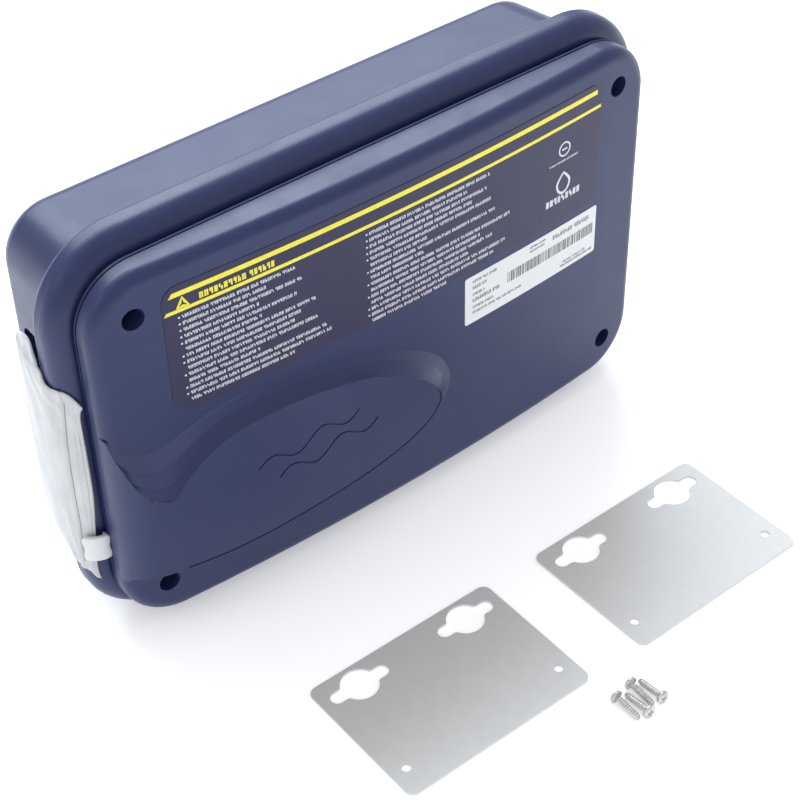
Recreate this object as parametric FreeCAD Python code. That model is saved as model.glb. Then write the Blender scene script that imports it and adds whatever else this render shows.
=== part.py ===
import FreeCAD, Part
import math
import os

# Wall-hung spa control box with its loose mounting kit, in millimetres.
# The box stands on its long lower edge. +X runs along its width, +Y points to its back, +Z is up.
# The origin is on the underside, in the middle of the rim's flat land.

# ---------------------------------------------------------------- box: driving dimensions
COVER_WIDTH = 360.0
COVER_HEIGHT = 222.0
COVER_CORNER = 33.0
COVER_WALL = 4.0
FACE_EDGE_ROUND = 7.0
CROWN = 9.4
RIM_OUTSET = 10.5
RIM_CORNER = 47.0
CASE_WALL = 3.0

# Planes along the depth, front to back.
FACE_Y = -28.0
LIP_Y = -14.4
CASE_FRONT_Y = -12.0
RIM_BACK_Y = 8.0
BACK_Y = 67.0

CENTRE_Z = COVER_HEIGHT / 2 + RIM_OUTSET
BODY_INSET_FRONT = 3.2
BODY_INSET_BACK = 6.9
BODY_CORNER = 28.0
BACK_EDGE_ROUND = 11.0
RIM_FRONT_ROUND = 11.3
RIM_BACK_ROUND = 4.0

# Crown: the face is one wide cylinder with its axis along Z.
CROWN_RADIUS = ((COVER_WIDTH / 2) ** 2 + CROWN ** 2) / (2 * CROWN)
CROWN_AXIS_Y = FACE_Y - CROWN + CROWN_RADIUS

# Seal: the cover's tongue presses a cord seal into a channel in the case.
CHANNEL_INSET = (1.7, 4.3)
CHANNEL_DEPTH = 3.0
GASKET_HEIGHT = 3.5
GASKET_PLAY = 0.1
TONGUE_INSET = (2.0, 4.0)
TONGUE_Y = -12.7
SHADOW_LINE_DEPTH = 0.9
SHADOW_LINE_Y = (-16.6, -15.6)

# Four cover screws, sunk in counterbores, into pillars of the case.
HOLE_INSET = 23.6
SCREW_X = COVER_WIDTH / 2 - HOLE_INSET
SCREW_Z = COVER_HEIGHT / 2 - HOLE_INSET
COUNTERBORE_RADIUS = 6.0
COUNTERBORE_Y = -18.0
COVER_POST_RADIUS = 8.5
SCREW_CLEARANCE_RADIUS = 2.4
SCREW_HEAD_RADIUS = 4.1
SCREW_HEAD_HEIGHT = 3.1
SCREW_HEAD_ROUND = 1.2
SCREW_RECESS = (1.8, 4.4)
COVER_SCREW_RADIUS = 2.0
COVER_SCREW_TIP_Y = 4.0
PILLAR_RADIUS = 5.5
PILLAR_HOLE_RADIUS = 2.08
PILLAR_HOLE_DEPTH = 18.0

# Bay in the case's left side, with the keypad socket in its floor.
BAY_Y = (13.0, 52.0)
BAY_Z = (46.0, 166.0)
BAY_FLOOR_X = -154.0
BAY_ROUND = 6.0
SOCKET_RADIUS = 9.0
SOCKET_Y = 32.0
SOCKET_Z = 142.0
SOCKET_PLAY = 0.1
SOCKET_FLANGE = (12.0, 2.5)
SOCKET_BARREL_OUT = 2.0
SOCKET_BARREL_IN = 8.0
SOCKET_WELL = (8.0, 11.6, 9.0)

# Cable entries in the underside, each with a rubber grommet.
ENTRY_X = (-120.0, -72.0, -24.0, 24.0)
ENTRY_Y = 30.0
ENTRY_RADIUS = 10.0
ENTRY_PAD_HALF = 15.0
ENTRY_PAD_BELOW = 2.0
ENTRY_PAD_ABOVE = 5.0
GROMMET_BORE_RADIUS = 4.5
GROMMET_FLANGE = (12.5, 2.0)

# Two feet below the rear body, level with the rim.
FOOT_X = (-118.0, 118.0)
FOOT_WIDTH = 36.0
FOOT_Y = (44.0, 56.0)
FOOT_ROOT = 8.0

# Blind holes in the back for the two mounting plates.
BRACKET_SPACING_X = 300.0
BRACKET_SPACING_Z = 101.7
BRACKET_HOLE_RADIUS = 1.7
BRACKET_HOLE_DEPTH = 14.0
BRACKET_BOSS_CAP = 3.0

# ---------------------------------------------------------------- raised pad on the face
# Outlines as X and height above the underside, clockwise seen from the front, with matching points:
# where the pad leaves the face, and its top. Both run past the cover's left side.
PAD_RISE = 10.0
PAD_SIDE_ROUND = 18.0
PAD_FOOT = ((-208, 96), (-200, 142), (-182, 143), (-170, 131), (-158, 127), (-146, 129), (-132, 133.5),
            (-118, 137), (-103, 138), (-86, 136.5), (-65, 133.5), (-42, 128.5), (-20, 121.5), (0, 112.5),
            (17, 102), (28.5, 88.5), (31.5, 74), (25, 61), (8, 51), (-18, 45), (-45, 41), (-75, 38.5),
            (-105, 37.5), (-135, 39), (-160, 42.5), (-182, 48), (-201, 55))
PAD_TOP = ((-206, 96), (-199, 134), (-182, 130), (-171.5, 112), (-163, 101.5), (-155, 97.5), (-147, 104),
           (-136, 114), (-122, 121.5), (-98, 125), (-73, 124.5), (-51, 121), (-33, 116.5), (-16, 108.5),
           (0, 98), (11.5, 87.5), (16.5, 77), (11, 67), (-1, 59.5), (-18, 54), (-42, 49.5), (-72, 46.5),
           (-105, 44.6), (-135, 45.8), (-160, 49.5), (-182, 54), (-200, 60))
# The flank's hollow profile: share of the way from foot to top outline, and height above the face.
PAD_FLANK = ((-0.15, -1.2), (0.14, 0.5), (0.45, 2.6), (0.75, 6.0), (1.0, 10.0), (1.12, 13.0))
PAD_CAP_Y = (-21.0, -60.0)
PAD_WALL = 4.5
PAD_LINE_INSET = (0.5, 1.4)
PAD_LINE_DEPTH = 0.5
PAD_LINE_REACH = (-150.0, 25.0, 30.0, 84.0)

# Two engraved wave lines on the pad: start X, end X, mid height.
WAVES = ((-104.0, -40.0, 92.0), (-92.0, -28.0, 80.0))
WAVE_LENGTH = 32.0
WAVE_SWING = 4.0
WAVE_TILT = 0.12
WAVE_WIDTH = 1.3
WAVE_DEPTH = 0.5
WAVE_STEPS = 16

# ---------------------------------------------------------------- labels: X range, Z range, corner
OVERLAY = (-141.6, 142.6, 142.5, 218.6, 9.0)
RATING = (41.4, 143.6, 106.3, 138.0, 1.5)
DIAGRAM = (-60.0, 120.0, 142.0, 214.0, 2.0)
LABEL_THICKNESS = 0.25
LABEL_REACH = 60.0

# ---------------------------------------------------------------- electrical parts in the case
BOARD_BACK_Y = 54.0
BOARD_THICKNESS = 1.6
BOARD_FRONT_Y = BOARD_BACK_Y - BOARD_THICKNESS
BOARD_CENTRE = (28.0, 132.0)
BOARD_SIZE = (232.0, 150.0)
BOARD_HOLE_INSET = 6.0
BOARD_HOLE_RADIUS = 1.8
BOARD_SCREW_RADIUS = 1.5
BOARD_SCREW_HEAD = (3.0, 2.0)
BOARD_SCREW_RECESS = (1.0, 3.2)
BOARD_SCREW_BITE = 7.0
STANDOFF_RADIUS = 4.0

# Offsets are from the board's centre; sizes are width, height, depth.
RELAY_COLUMNS = (-92.0, -62.0, -32.0, -2.0, 28.0)
RELAY_ROW = -18.0
RELAY_SIZE = (16.0, 29.0, 20.0)
RELAY_ROUND = 0.8

FUSE_COLUMNS = (58.0, 78.0, 98.0)
FUSE_ROW = -22.0
FUSE_BASE = (12.0, 42.0, 4.0)
FUSE_EAR = (10.0, 7.0, 13.0)
FUSE_EAR_RISE = 16.0
FUSE_AXIS_HEIGHT = 9.0
FUSE_GLASS_RADIUS = 2.9
FUSE_CAP_RADIUS = 3.25
FUSE_CLIP_RADIUS = 3.35
FUSE_CLIP_MOUTH = (5.0, 8.0)
FUSE_HALF_LENGTH = 20.0
FUSE_CAP_LENGTH = 7.0

TERMINAL_WAYS = 5
TERMINAL_PITCH = 14.0
TERMINAL_LEFT = -99.0
TERMINAL_ROW = -56.0
TERMINAL_SIZE = (22.0, 22.0)
TERMINAL_WIRE_WELL = (10.4, 9.0, 4.0, 14.0)
TERMINAL_WELL_RADIUS = 3.6
TERMINAL_SCREW_RADIUS = 3.3
TERMINAL_SCREW_RISE = 3.0
TERMINAL_SCREW_DEPTH = (12.0, 19.0)
DRIVER_SLOT = (1.4, 1.1)

# Each can: offset in X, offset in Z, radius, height.
CAPACITORS = ((60.0, 30.0, 9.0, 26.0), (84.0, 30.0, 9.0, 26.0), (103.0, 46.0, 5.0, 14.0),
              (103.0, 18.0, 5.0, 14.0))
CAPACITOR_ROUND = 1.0

CONNECTOR_COLUMNS = (-96.0, -66.0, -36.0, -6.0, 24.0)
CONNECTOR_ROW = 58.0
CONNECTOR_SIZE = (22.0, 14.0, 12.0)
CONNECTOR_WALL = 1.7
CONNECTOR_FLOOR = 3.0

# Each chip: offset in X, offset in Z, width, height, depth.
CHIPS = ((-8.0, 27.0, 22.0, 22.0, 2.2), (-50.0, 27.0, 20.0, 8.0, 3.4), (-80.0, 27.0, 20.0, 8.0, 3.4),
         (26.0, 36.0, 10.0, 10.0, 1.8))

SINK_BASE = (79.0, 62.0)
SINK_SIZE = (52.0, 3.0, 26.0)
SINK_FINS = 9
SINK_FIN_THICKNESS = 1.6
SINK_FIN_HEIGHT = 10.0

TRANSFORMER_CENTRE = (-116.0, 118.0)
TRANSFORMER_BACK_Y = 60.0
TRANSFORMER_HOLE_RISE = 35.0
TRANSFORMER_SCREW_RADIUS = 2.0
TRANSFORMER_SCREW_HEAD = (4.0, 2.6)
TRANSFORMER_SCREW_RECESS = (1.4, 4.2)
TRANSFORMER_HOLE_PLAY = 0.2
STRAP_SIZE = (40.0, 5.0, 82.0)
STRAP_BRIDGE = (54.0, 3.05)
CORE_SIZE = (48.0, 34.0, 58.0)
CORE_MID_Y = TRANSFORMER_BACK_Y - STRAP_SIZE[1] - CORE_SIZE[1] / 2
CORE_WINDOW = (9.0, 38.0)
CORE_LEG = 16.0
COIL_SIZE = (33.4, 38.0, 37.4)
COIL_ROUND = 5.0

GROUND_BAR_X = (-142.0, -92.0)
GROUND_BAR_Y = (50.0, 56.0)
GROUND_BAR_Z = (190.0, 199.0)
GROUND_FOOT = 8.0
GROUND_WAYS = 5
GROUND_PITCH = 10.0
GROUND_SCREW_HEAD = (3.6, 3.5)
GROUND_SCREW_RADIUS = 2.0
GROUND_SCREW_LENGTH = 5.5
GROUND_HOLE_RADIUS = 2.05

# ---------------------------------------------------------------- loose mounting kit
PLATE_WIDTH = 120.5
PLATE_DEPTH = 86.0
PLATE_THICKNESS = 1.5
PLATE_CORNER = 5.0
PLATE_HOLE_INSET_X = 9.4
PLATE_HOLE_INSET_Y = 15.6
PLATE_HOLE_RADIUS = 2.5
KEYHOLE_INSET_X = 24.5
KEYHOLE_INSET_Y = 13.0
KEYHOLE_LENGTH = 36.5
KEYHOLE_EYE_RADIUS = 10.4
KEYHOLE_SLOT_WIDTH = 8.0
KEYHOLE_THROAT_ROUND = 2.0
# Rear left corner of each plate on the floor, and its turn in degrees.
LEFT_PLATE = (-131.6, -113.6, -0.7)
RIGHT_PLATE = (22.7, -116.9, 0.0)

LOOSE_HEAD_RADIUS = 3.7
LOOSE_HEAD_HEIGHT = 2.4
LOOSE_HEAD_TOP_SHARE = 0.62
LOOSE_HEAD_EDGE_SHARE = 0.45
LOOSE_LENGTH = 15.9
LOOSE_ROOT_RADIUS = 1.55
LOOSE_CREST_RADIUS = 2.05
LOOSE_PITCH = 1.4
LOOSE_RIDGES = 9
LOOSE_FIRST_RIDGE = 1.6
LOOSE_TIP_SHARE = 0.75
LOOSE_RECESS = (1.4, 4.0)
# Each loose screw: X and Y of the head's seat, and whether its head points back or forward.
PILE = ((-13.4, -220.4, 1), (-7.4, -236.6, -1), (-1.5, -218.6, 1), (4.5, -234.4, -1))

# ---------------------------------------------------------------- parts bag
BAG_GAP = 0.4
BAG_THICKNESS = 2.2
BAG_FRONT_ANGLE = 20.0
BAG_SIDE_Y = 9.0
BAG_TAIL = (8.0, 38.0)
BAG_TAIL_THICKNESS = 4.5
BAG_BELLY = (1.0, 18.0)
# The bag seen from the side, as Y and height.
BAG_SIDE = ((-13.2, 158.0), (-6.0, 168.0), (1.5, 170.0), (8.0, 184.0), (13.0, 189.0), (24.0, 187.0),
            (32.0, 181.0), (36.0, 160.0), (37.5, 129.0), (37.0, 97.0), (35.0, 79.0), (27.0, 63.0),
            (8.0, 37.0), (-9.0, 37.5), (-13.2, 41.0))
TRACK_X = (-184.6, -182.8)
TRACK_Y = (-16.0, -11.9)
TRACK_Z = (47.0, 152.0)
SLIDER_X = (-187.2, -180.8)
SLIDER_Y = (-18.5, -13.4)
SLIDER_Z = (58.0, 74.0)
SLIDER_PLAY = 0.3
SLIDER_ROUND = 0.8

Y_AXIS = FreeCAD.Vector(0, 1, 0)
X_AXIS = FreeCAD.Vector(1, 0, 0)
Z_AXIS = FreeCAD.Vector(0, 0, 1)
OUT_DIR = "parts"
# Length that a cutter runs past the material it cuts.
PAST = 1.0
# Sides used for parts that come in mirrored pairs.
SIDES = (-1, 1)


# ---------------------------------------------------------------- helpers
def vec(x, y, z):
    return FreeCAD.Vector(x, y, z)


def save(name, shape):
    os.makedirs(OUT_DIR, exist_ok=True)
    shape.exportStep(os.path.join(OUT_DIR, name + ".step"))


def fuse(shapes):
    """One solid from several that touch or overlap."""
    joined = shapes[0].multiFuse(shapes[1:]) if len(shapes) > 1 else shapes[0]
    return joined.removeSplitter()


def group(shapes):
    """Several separate solids kept in one node."""
    solids = []
    for shape in shapes:
        solids.extend(shape.Solids)
    return Part.makeCompound(solids)


def box(x0, x1, y0, y1, z0, z1):
    return Part.makeBox(x1 - x0, y1 - y0, z1 - z0, vec(x0, y0, z0))


def centred_box(centre, size):
    cx, cy, cz = centre
    dx, dy, dz = size
    return box(cx - dx / 2, cx + dx / 2, cy - dy / 2, cy + dy / 2, cz - dz / 2, cz + dz / 2)


def rod(radius, start, end):
    axis = end.sub(start)
    return Part.makeCylinder(radius, axis.Length, start, axis)


def rod_y(radius, x, z, y0, y1):
    return rod(radius, vec(x, y0, z), vec(x, y1, z))


def rod_z(radius, x, y, z0, z1):
    return rod(radius, vec(x, y, z0), vec(x, y, z1))


def edges_where(shape, test):
    return [edge for edge in shape.Edges if test(edge.BoundBox)]


def rounded_wire(width, height, radius, y, centre_z=CENTRE_Z):
    """Rounded rectangle in a plane of constant Y."""
    hw = width / 2
    hh = height / 2
    k = radius * (1 - math.sqrt(0.5))
    edges = []
    corners = ((1, 1), (-1, 1), (-1, -1), (1, -1))
    for i, (sx, sz) in enumerate(corners):
        nx, nz = corners[(i + 1) % 4]
        on_side = vec(sx * hw, y, centre_z + sz * (hh - radius))
        on_top = vec(sx * (hw - radius), y, centre_z + sz * hh)
        mid = vec(sx * (hw - k), y, centre_z + sz * (hh - k))
        start, end = (on_side, on_top) if sx == sz else (on_top, on_side)
        edges.append(Part.Arc(start, mid, end).toShape())
        if sx != nx:
            following = vec(nx * (hw - radius), y, centre_z + nz * hh)
        else:
            following = vec(nx * hw, y, centre_z + nz * (hh - radius))
        edges.append(Part.makeLine(end, following))
    return Part.Wire(edges)


def slab(width, height, radius, y0, y1):
    face = Part.Face(rounded_wire(width, height, radius, y0))
    return face.extrude(vec(0, y1 - y0, 0))


def cover_slab(inset, y0, y1):
    """Slab whose outline lies the given distance inside the cover's outline."""
    return slab(COVER_WIDTH - 2 * inset, COVER_HEIGHT - 2 * inset, COVER_CORNER - inset, y0, y1)


def ring(insets, y0, y1):
    """Band between two outlines inside the cover's outline."""
    return cover_slab(insets[0], y0, y1).cut(cover_slab(insets[1], y0, y1))


def crown_y(x):
    """Depth of the crowned face at an X."""
    return CROWN_AXIS_Y - math.sqrt(CROWN_RADIUS ** 2 - x ** 2)


def crown_solid(offset):
    """Everything behind the crowned face, moved forward by offset."""
    return Part.makeCylinder(CROWN_RADIUS + offset, 2 * COVER_HEIGHT,
                             vec(0, CROWN_AXIS_Y, CENTRE_Z - COVER_HEIGHT), Z_AXIS)


def crown_sheet(outline, lift, thickness):
    """Thin sheet that follows the crowned face over an outline solid."""
    skin = crown_solid(lift + thickness).cut(crown_solid(lift))
    return skin.common(outline)


def screw_points():
    return [(sx * SCREW_X, CENTRE_Z + sz * SCREW_Z) for sz in (1, -1) for sx in SIDES]


def cross_recess(x, z, mouth_y, size, inward):
    """Cross-shaped driver recess in a head's face at mouth_y; inward is its way along Y."""
    depth, reach = size
    mid_y = mouth_y + inward * depth / 2
    narrow = reach * 0.24
    return fuse([centred_box((x, mid_y, z), (reach, depth, narrow)),
                 centred_box((x, mid_y, z), (narrow, depth, reach))])


def headed_screw(x, z, seat_y, head, radius, length, recess):
    """Machine screw driven along +Y, with its head in front of seat_y."""
    head_radius, head_height = head
    front = seat_y - head_height
    solid = fuse([rod_y(head_radius, x, z, front, seat_y),
                  rod_y(radius, x, z, seat_y - PAST, seat_y + length)])
    return solid.cut(cross_recess(x, z, front, recess, 1))


# ---------------------------------------------------------------- case (rear shell)
def body_block(shrink, front_y, back_y, edge_round):
    """Tapered rear body; shrink moves every side inwards."""
    def outline(inset, y):
        total = inset + shrink
        return rounded_wire(COVER_WIDTH - 2 * total, COVER_HEIGHT - 2 * total, BODY_CORNER - shrink, y)
    block = Part.makeLoft([outline(BODY_INSET_FRONT, front_y), outline(BODY_INSET_BACK, back_y)], True, True)
    return block.makeFillet(edge_round, edges_where(block, lambda b: b.YMin > back_y - 0.5))


def board_holes():
    bx, bz = BOARD_CENTRE
    hw = BOARD_SIZE[0] / 2 - BOARD_HOLE_INSET
    hh = BOARD_SIZE[1] / 2 - BOARD_HOLE_INSET
    return [(bx + sx * hw, bz + sz * hh) for sx in (-1, 0, 1) for sz in SIDES]


def bracket_points():
    return [(sx * BRACKET_SPACING_X / 2, CENTRE_Z + sz * BRACKET_SPACING_Z / 2)
            for sx in SIDES for sz in SIDES]


def transformer_holes():
    tx, tz = TRANSFORMER_CENTRE
    return [(tx, tz + sz * TRANSFORMER_HOLE_RISE) for sz in SIDES]


def entry_pad_z():
    """Lower and upper face of the thick pad around the cable entries."""
    share = (ENTRY_Y - RIM_BACK_Y) / (BACK_Y - RIM_BACK_Y)
    under = RIM_OUTSET + BODY_INSET_FRONT + share * (BODY_INSET_BACK - BODY_INSET_FRONT)
    return under - ENTRY_PAD_BELOW, under + ENTRY_PAD_ABOVE


def make_outer_case():
    rim = slab(COVER_WIDTH + 2 * RIM_OUTSET, COVER_HEIGHT + 2 * RIM_OUTSET, RIM_CORNER,
               CASE_FRONT_Y, RIM_BACK_Y)
    rim = rim.makeFillet(RIM_FRONT_ROUND, edges_where(rim, lambda b: b.YMax < CASE_FRONT_Y + 0.5))
    rim = rim.makeFillet(RIM_BACK_ROUND, edges_where(rim, lambda b: b.YMin > RIM_BACK_Y - 0.5))
    body = body_block(0.0, RIM_BACK_Y - 2 * PAST, BACK_Y, BACK_EDGE_ROUND)
    return fuse([rim, body])


def case_inner_parts(outer):
    """Pillars, bosses, bay walls, feet and the entry pad that are joined to the shell."""
    deep = BACK_Y - PAST
    parts = [box(-COVER_WIDTH / 2, BAY_FLOOR_X + CASE_WALL, BAY_Y[0] - CASE_WALL, BAY_Y[1] + CASE_WALL,
                 BAY_Z[0] - CASE_WALL, BAY_Z[1] + CASE_WALL).common(outer)]
    for x, z in screw_points():
        parts.append(rod_y(PILLAR_RADIUS, x, z, CASE_FRONT_Y, deep))
    for x, z in board_holes():
        parts.append(rod_y(STANDOFF_RADIUS, x, z, BOARD_BACK_Y, deep))
    for x, z in bracket_points():
        parts.append(rod_y(PILLAR_RADIUS, x, z, BACK_Y - BRACKET_HOLE_DEPTH - BRACKET_BOSS_CAP, deep))
    for x, z in transformer_holes():
        parts.append(rod_y(PILLAR_RADIUS, x, z, TRANSFORMER_BACK_Y, deep))
    for x in FOOT_X:
        parts.append(box(x - FOOT_WIDTH / 2, x + FOOT_WIDTH / 2, FOOT_Y[0], FOOT_Y[1],
                         0, RIM_OUTSET + FOOT_ROOT))
    low, high = entry_pad_z()
    parts.append(box(ENTRY_X[0] - ENTRY_PAD_HALF, ENTRY_X[-1] + ENTRY_PAD_HALF, ENTRY_Y - ENTRY_PAD_HALF,
                     ENTRY_Y + ENTRY_PAD_HALF, low, high))
    return parts


def case_cuts():
    """The bay, the blind and through holes, and the seal's channel."""
    bay = box(-COVER_WIDTH, BAY_FLOOR_X, BAY_Y[0], BAY_Y[1], BAY_Z[0], BAY_Z[1])
    long_or_deep = edges_where(bay, lambda b: b.XLength > BAY_ROUND or b.XMin > BAY_FLOOR_X - PAST)
    cuts = [bay.makeFillet(BAY_ROUND, long_or_deep)]
    for x, z in screw_points():
        cuts.append(rod_y(PILLAR_HOLE_RADIUS, x, z, CASE_FRONT_Y - PAST, CASE_FRONT_Y + PILLAR_HOLE_DEPTH))
    for x, z in bracket_points():
        cuts.append(rod_y(BRACKET_HOLE_RADIUS, x, z, BACK_Y - BRACKET_HOLE_DEPTH, BACK_Y + PAST))
    for x, z in board_holes():
        cuts.append(rod_y(BOARD_SCREW_RADIUS, x, z,
                          BOARD_BACK_Y - PAST, BOARD_BACK_Y + BOARD_SCREW_BITE + PAST))
    for x, z in transformer_holes():
        cuts.append(rod_y(TRANSFORMER_SCREW_RADIUS, x, z, TRANSFORMER_BACK_Y - PAST, BACK_Y - 2 * PAST))
    low, high = entry_pad_z()
    for x in ENTRY_X:
        cuts.append(rod_z(ENTRY_RADIUS, x, ENTRY_Y, low - PAST, high + PAST))
    cuts.append(rod(SOCKET_RADIUS, vec(BAY_FLOOR_X - PAST, SOCKET_Y, SOCKET_Z),
                    vec(BAY_FLOOR_X + CASE_WALL + PAST, SOCKET_Y, SOCKET_Z)))
    cuts.append(ring(CHANNEL_INSET, CASE_FRONT_Y - PAST, CASE_FRONT_Y + CHANNEL_DEPTH))
    return cuts


def make_case():
    outer = make_outer_case()
    cavity = body_block(CASE_WALL, CASE_FRONT_Y - PAST, BACK_Y - CASE_WALL, BACK_EDGE_ROUND - CASE_WALL)
    shell = fuse([outer.cut(cavity)] + case_inner_parts(outer))
    for cut in case_cuts():
        shell = shell.cut(cut)
    return shell


def make_gasket():
    back = CASE_FRONT_Y + CHANNEL_DEPTH
    insets = (CHANNEL_INSET[0] + GASKET_PLAY, CHANNEL_INSET[1] - GASKET_PLAY)
    return ring(insets, back - GASKET_HEIGHT, back)


# ---------------------------------------------------------------- cover
def offset_outline(points, distance):
    """Closed clockwise outline moved towards its inside."""
    moved = []
    for i, (x, z) in enumerate(points):
        before = points[i - 1]
        after = points[(i + 1) % len(points)]
        dx = after[0] - before[0]
        dz = after[1] - before[1]
        step = distance / math.hypot(dx, dz)
        moved.append((x + dz * step, z - dx * step))
    return moved


def smooth_wire(points):
    curve = Part.BSplineCurve()
    curve.interpolate(points, PeriodicFlag=True)
    return Part.Wire([curve.toShape()])


def flat_outline(points, y):
    return smooth_wire([vec(x, y, z) for x, z in points])


def prism(points, y0, y1):
    return Part.Face(flat_outline(points, y0)).extrude(vec(0, y1 - y0, 0))


def pad_outline(share):
    """Outline between the pad's foot (0) and its top (1)."""
    return [(fx + (tx - fx) * share, fz + (tz - fz) * share) for (fx, fz), (tx, tz) in zip(PAD_FOOT, PAD_TOP)]


def pad_flank():
    """Lofted body of the pad with hollow flanks, running past its crowned top."""
    first, last = PAD_FLANK[0][0], PAD_FLANK[-1][0]
    wires = [flat_outline(pad_outline(first), PAD_CAP_Y[0])]
    for share, height in PAD_FLANK:
        wires.append(smooth_wire([vec(x, crown_y(x) - height, z) for x, z in pad_outline(share)]))
    wires.append(flat_outline(pad_outline(last), PAD_CAP_Y[1]))
    return Part.makeLoft(wires, True, True)


def trim_pad(pad, shrink):
    """Cuts a pad to the cover's outline and its own crowned top, and rounds it into the left side."""
    top = PAD_RISE - shrink
    pad = pad.common(cover_slab(shrink, PAD_CAP_Y[1], LIP_Y - COVER_WALL)).common(crown_solid(top))
    radius = PAD_SIDE_ROUND - shrink
    side_x = -COVER_WIDTH / 2 + shrink
    mid_x = side_x + radius
    reach = CROWN_RADIUS + top
    mid_y = CROWN_AXIS_Y - math.sqrt((reach - radius) ** 2 - mid_x ** 2)
    touch_x = mid_x * reach / (reach - radius)
    corner = box(side_x - radius, touch_x, PAD_CAP_Y[1], mid_y, 0, 2 * CENTRE_Z)
    keep = rod_z(radius, mid_x, mid_y, -PAST, 2 * CENTRE_Z + PAST)
    return pad.cut(corner.cut(keep))


def pad_line():
    """Fine groove that follows the pad's tip and lower edge."""
    outer, inner = (prism(offset_outline(PAD_TOP, inset), *PAD_CAP_Y) for inset in PAD_LINE_INSET)
    x0, x1, z0, z1 = PAD_LINE_REACH
    band = outer.cut(inner).common(box(x0, x1, PAD_CAP_Y[1], PAD_CAP_Y[0], z0, z1))
    return band.cut(crown_solid(PAD_RISE - PAD_LINE_DEPTH))


def wave_line(start, end, height):
    """Prism of one wave line, cut down to the pad's skin."""
    def edge(lift):
        points = []
        for i in range(WAVE_STEPS + 1):
            x = start + (end - start) * i / WAVE_STEPS
            swing = WAVE_SWING * math.sin(2 * math.pi * (x - start) / WAVE_LENGTH)
            points.append(vec(x, PAD_CAP_Y[0], height + swing + WAVE_TILT * (x - start) + lift))
        curve = Part.BSplineCurve()
        curve.interpolate(points)
        return curve.toShape(), points[0], points[-1]
    upper, upper_start, upper_end = edge(WAVE_WIDTH / 2)
    lower, lower_start, lower_end = edge(-WAVE_WIDTH / 2)
    wire = Part.Wire([upper, Part.makeLine(upper_end, lower_end),
                      lower, Part.makeLine(lower_start, upper_start)])
    line = Part.Face(wire).extrude(vec(0, PAD_CAP_Y[1] - PAD_CAP_Y[0], 0))
    return line.cut(crown_solid(PAD_RISE - WAVE_DEPTH))


def cover_block(inset, edge_round):
    block = cover_slab(inset, FACE_Y - 2 * CROWN, LIP_Y).common(crown_solid(-inset))
    front = edges_where(block, lambda b: b.YMax < FACE_Y + 0.5 + inset)
    return block.makeFillet(edge_round, front)


def make_cover():
    pad = trim_pad(pad_flank(), 0.0)
    hollow_pad = trim_pad(prism(offset_outline(PAD_TOP, PAD_WALL), *PAD_CAP_Y), PAD_WALL)
    shell = cover_block(0.0, FACE_EDGE_ROUND).fuse(pad)
    shell = shell.cut(cover_block(COVER_WALL, FACE_EDGE_ROUND - COVER_WALL)).cut(hollow_pad)
    posts = [rod_y(COVER_POST_RADIUS, x, z, FACE_Y + 2 * PAST, LIP_Y) for x, z in screw_points()]
    shell = shell.multiFuse(posts + [ring(TONGUE_INSET, LIP_Y - 2 * PAST, TONGUE_Y)])

    front, back = SHADOW_LINE_Y
    inside = cover_slab(SHADOW_LINE_DEPTH, front - PAST, back + PAST)
    shadow_line = cover_slab(-2 * PAST, front, back).cut(inside)
    cuts = [shadow_line, pad_line()] + [wave_line(*wave) for wave in WAVES]
    for x, z in screw_points():
        cuts.append(rod_y(COUNTERBORE_RADIUS, x, z, PAD_CAP_Y[1], COUNTERBORE_Y))
        cuts.append(rod_y(SCREW_CLEARANCE_RADIUS, x, z, COUNTERBORE_Y - PAST, LIP_Y + PAST))
    for cut in cuts:
        shell = shell.cut(cut)
    return shell.removeSplitter()


def make_cover_screw(x, z):
    front = COUNTERBORE_Y - SCREW_HEAD_HEIGHT
    head = rod_y(SCREW_HEAD_RADIUS, x, z, front, COUNTERBORE_Y)
    rim = edges_where(head, lambda b: b.YMax < front + 0.1 and b.ZLength > 1)
    head = head.makeFillet(SCREW_HEAD_ROUND, rim)
    shank = rod_y(COVER_SCREW_RADIUS, x, z, COUNTERBORE_Y - 0.5 * PAST, COVER_SCREW_TIP_Y)
    return fuse([head, shank]).cut(cross_recess(x, z, front, SCREW_RECESS, 1))


def label_sheet(outline, lift, thickness):
    """Sheet over a rounded rectangle, bent to the crowned face."""
    x0, x1, z0, z1, radius = outline
    face = Part.Face(rounded_wire(x1 - x0, z1 - z0, radius, -LABEL_REACH, (z0 + z1) / 2))
    face.translate(vec((x0 + x1) / 2, 0, 0))
    return crown_sheet(face.extrude(vec(0, LABEL_REACH, 0)), lift, thickness)


# ---------------------------------------------------------------- electrical parts inside the case
def on_board(dx, dz, size):
    """Block standing on the board's front, placed from the board's centre."""
    bx, bz = BOARD_CENTRE
    width, height, depth = size
    return centred_box((bx + dx, BOARD_FRONT_Y - depth / 2, bz + dz), (width, depth, height))


def board_rod(dx, dz, radius, low, high):
    """Rod standing out from the board between two heights above it."""
    bx, bz = BOARD_CENTRE
    return rod_y(radius, bx + dx, bz + dz, BOARD_FRONT_Y - high, BOARD_FRONT_Y - low)


def make_board():
    bx, bz = BOARD_CENTRE
    board = centred_box((bx, BOARD_BACK_Y - BOARD_THICKNESS / 2, bz),
                        (BOARD_SIZE[0], BOARD_THICKNESS, BOARD_SIZE[1]))
    for x, z in board_holes():
        board = board.cut(rod_y(BOARD_HOLE_RADIUS, x, z, BOARD_FRONT_Y - PAST, BOARD_BACK_Y + PAST))
    return board


def make_board_screws():
    length = BOARD_THICKNESS + BOARD_SCREW_BITE
    return group([headed_screw(x, z, BOARD_FRONT_Y, BOARD_SCREW_HEAD, BOARD_SCREW_RADIUS, length,
                               BOARD_SCREW_RECESS) for x, z in board_holes()])


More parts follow.
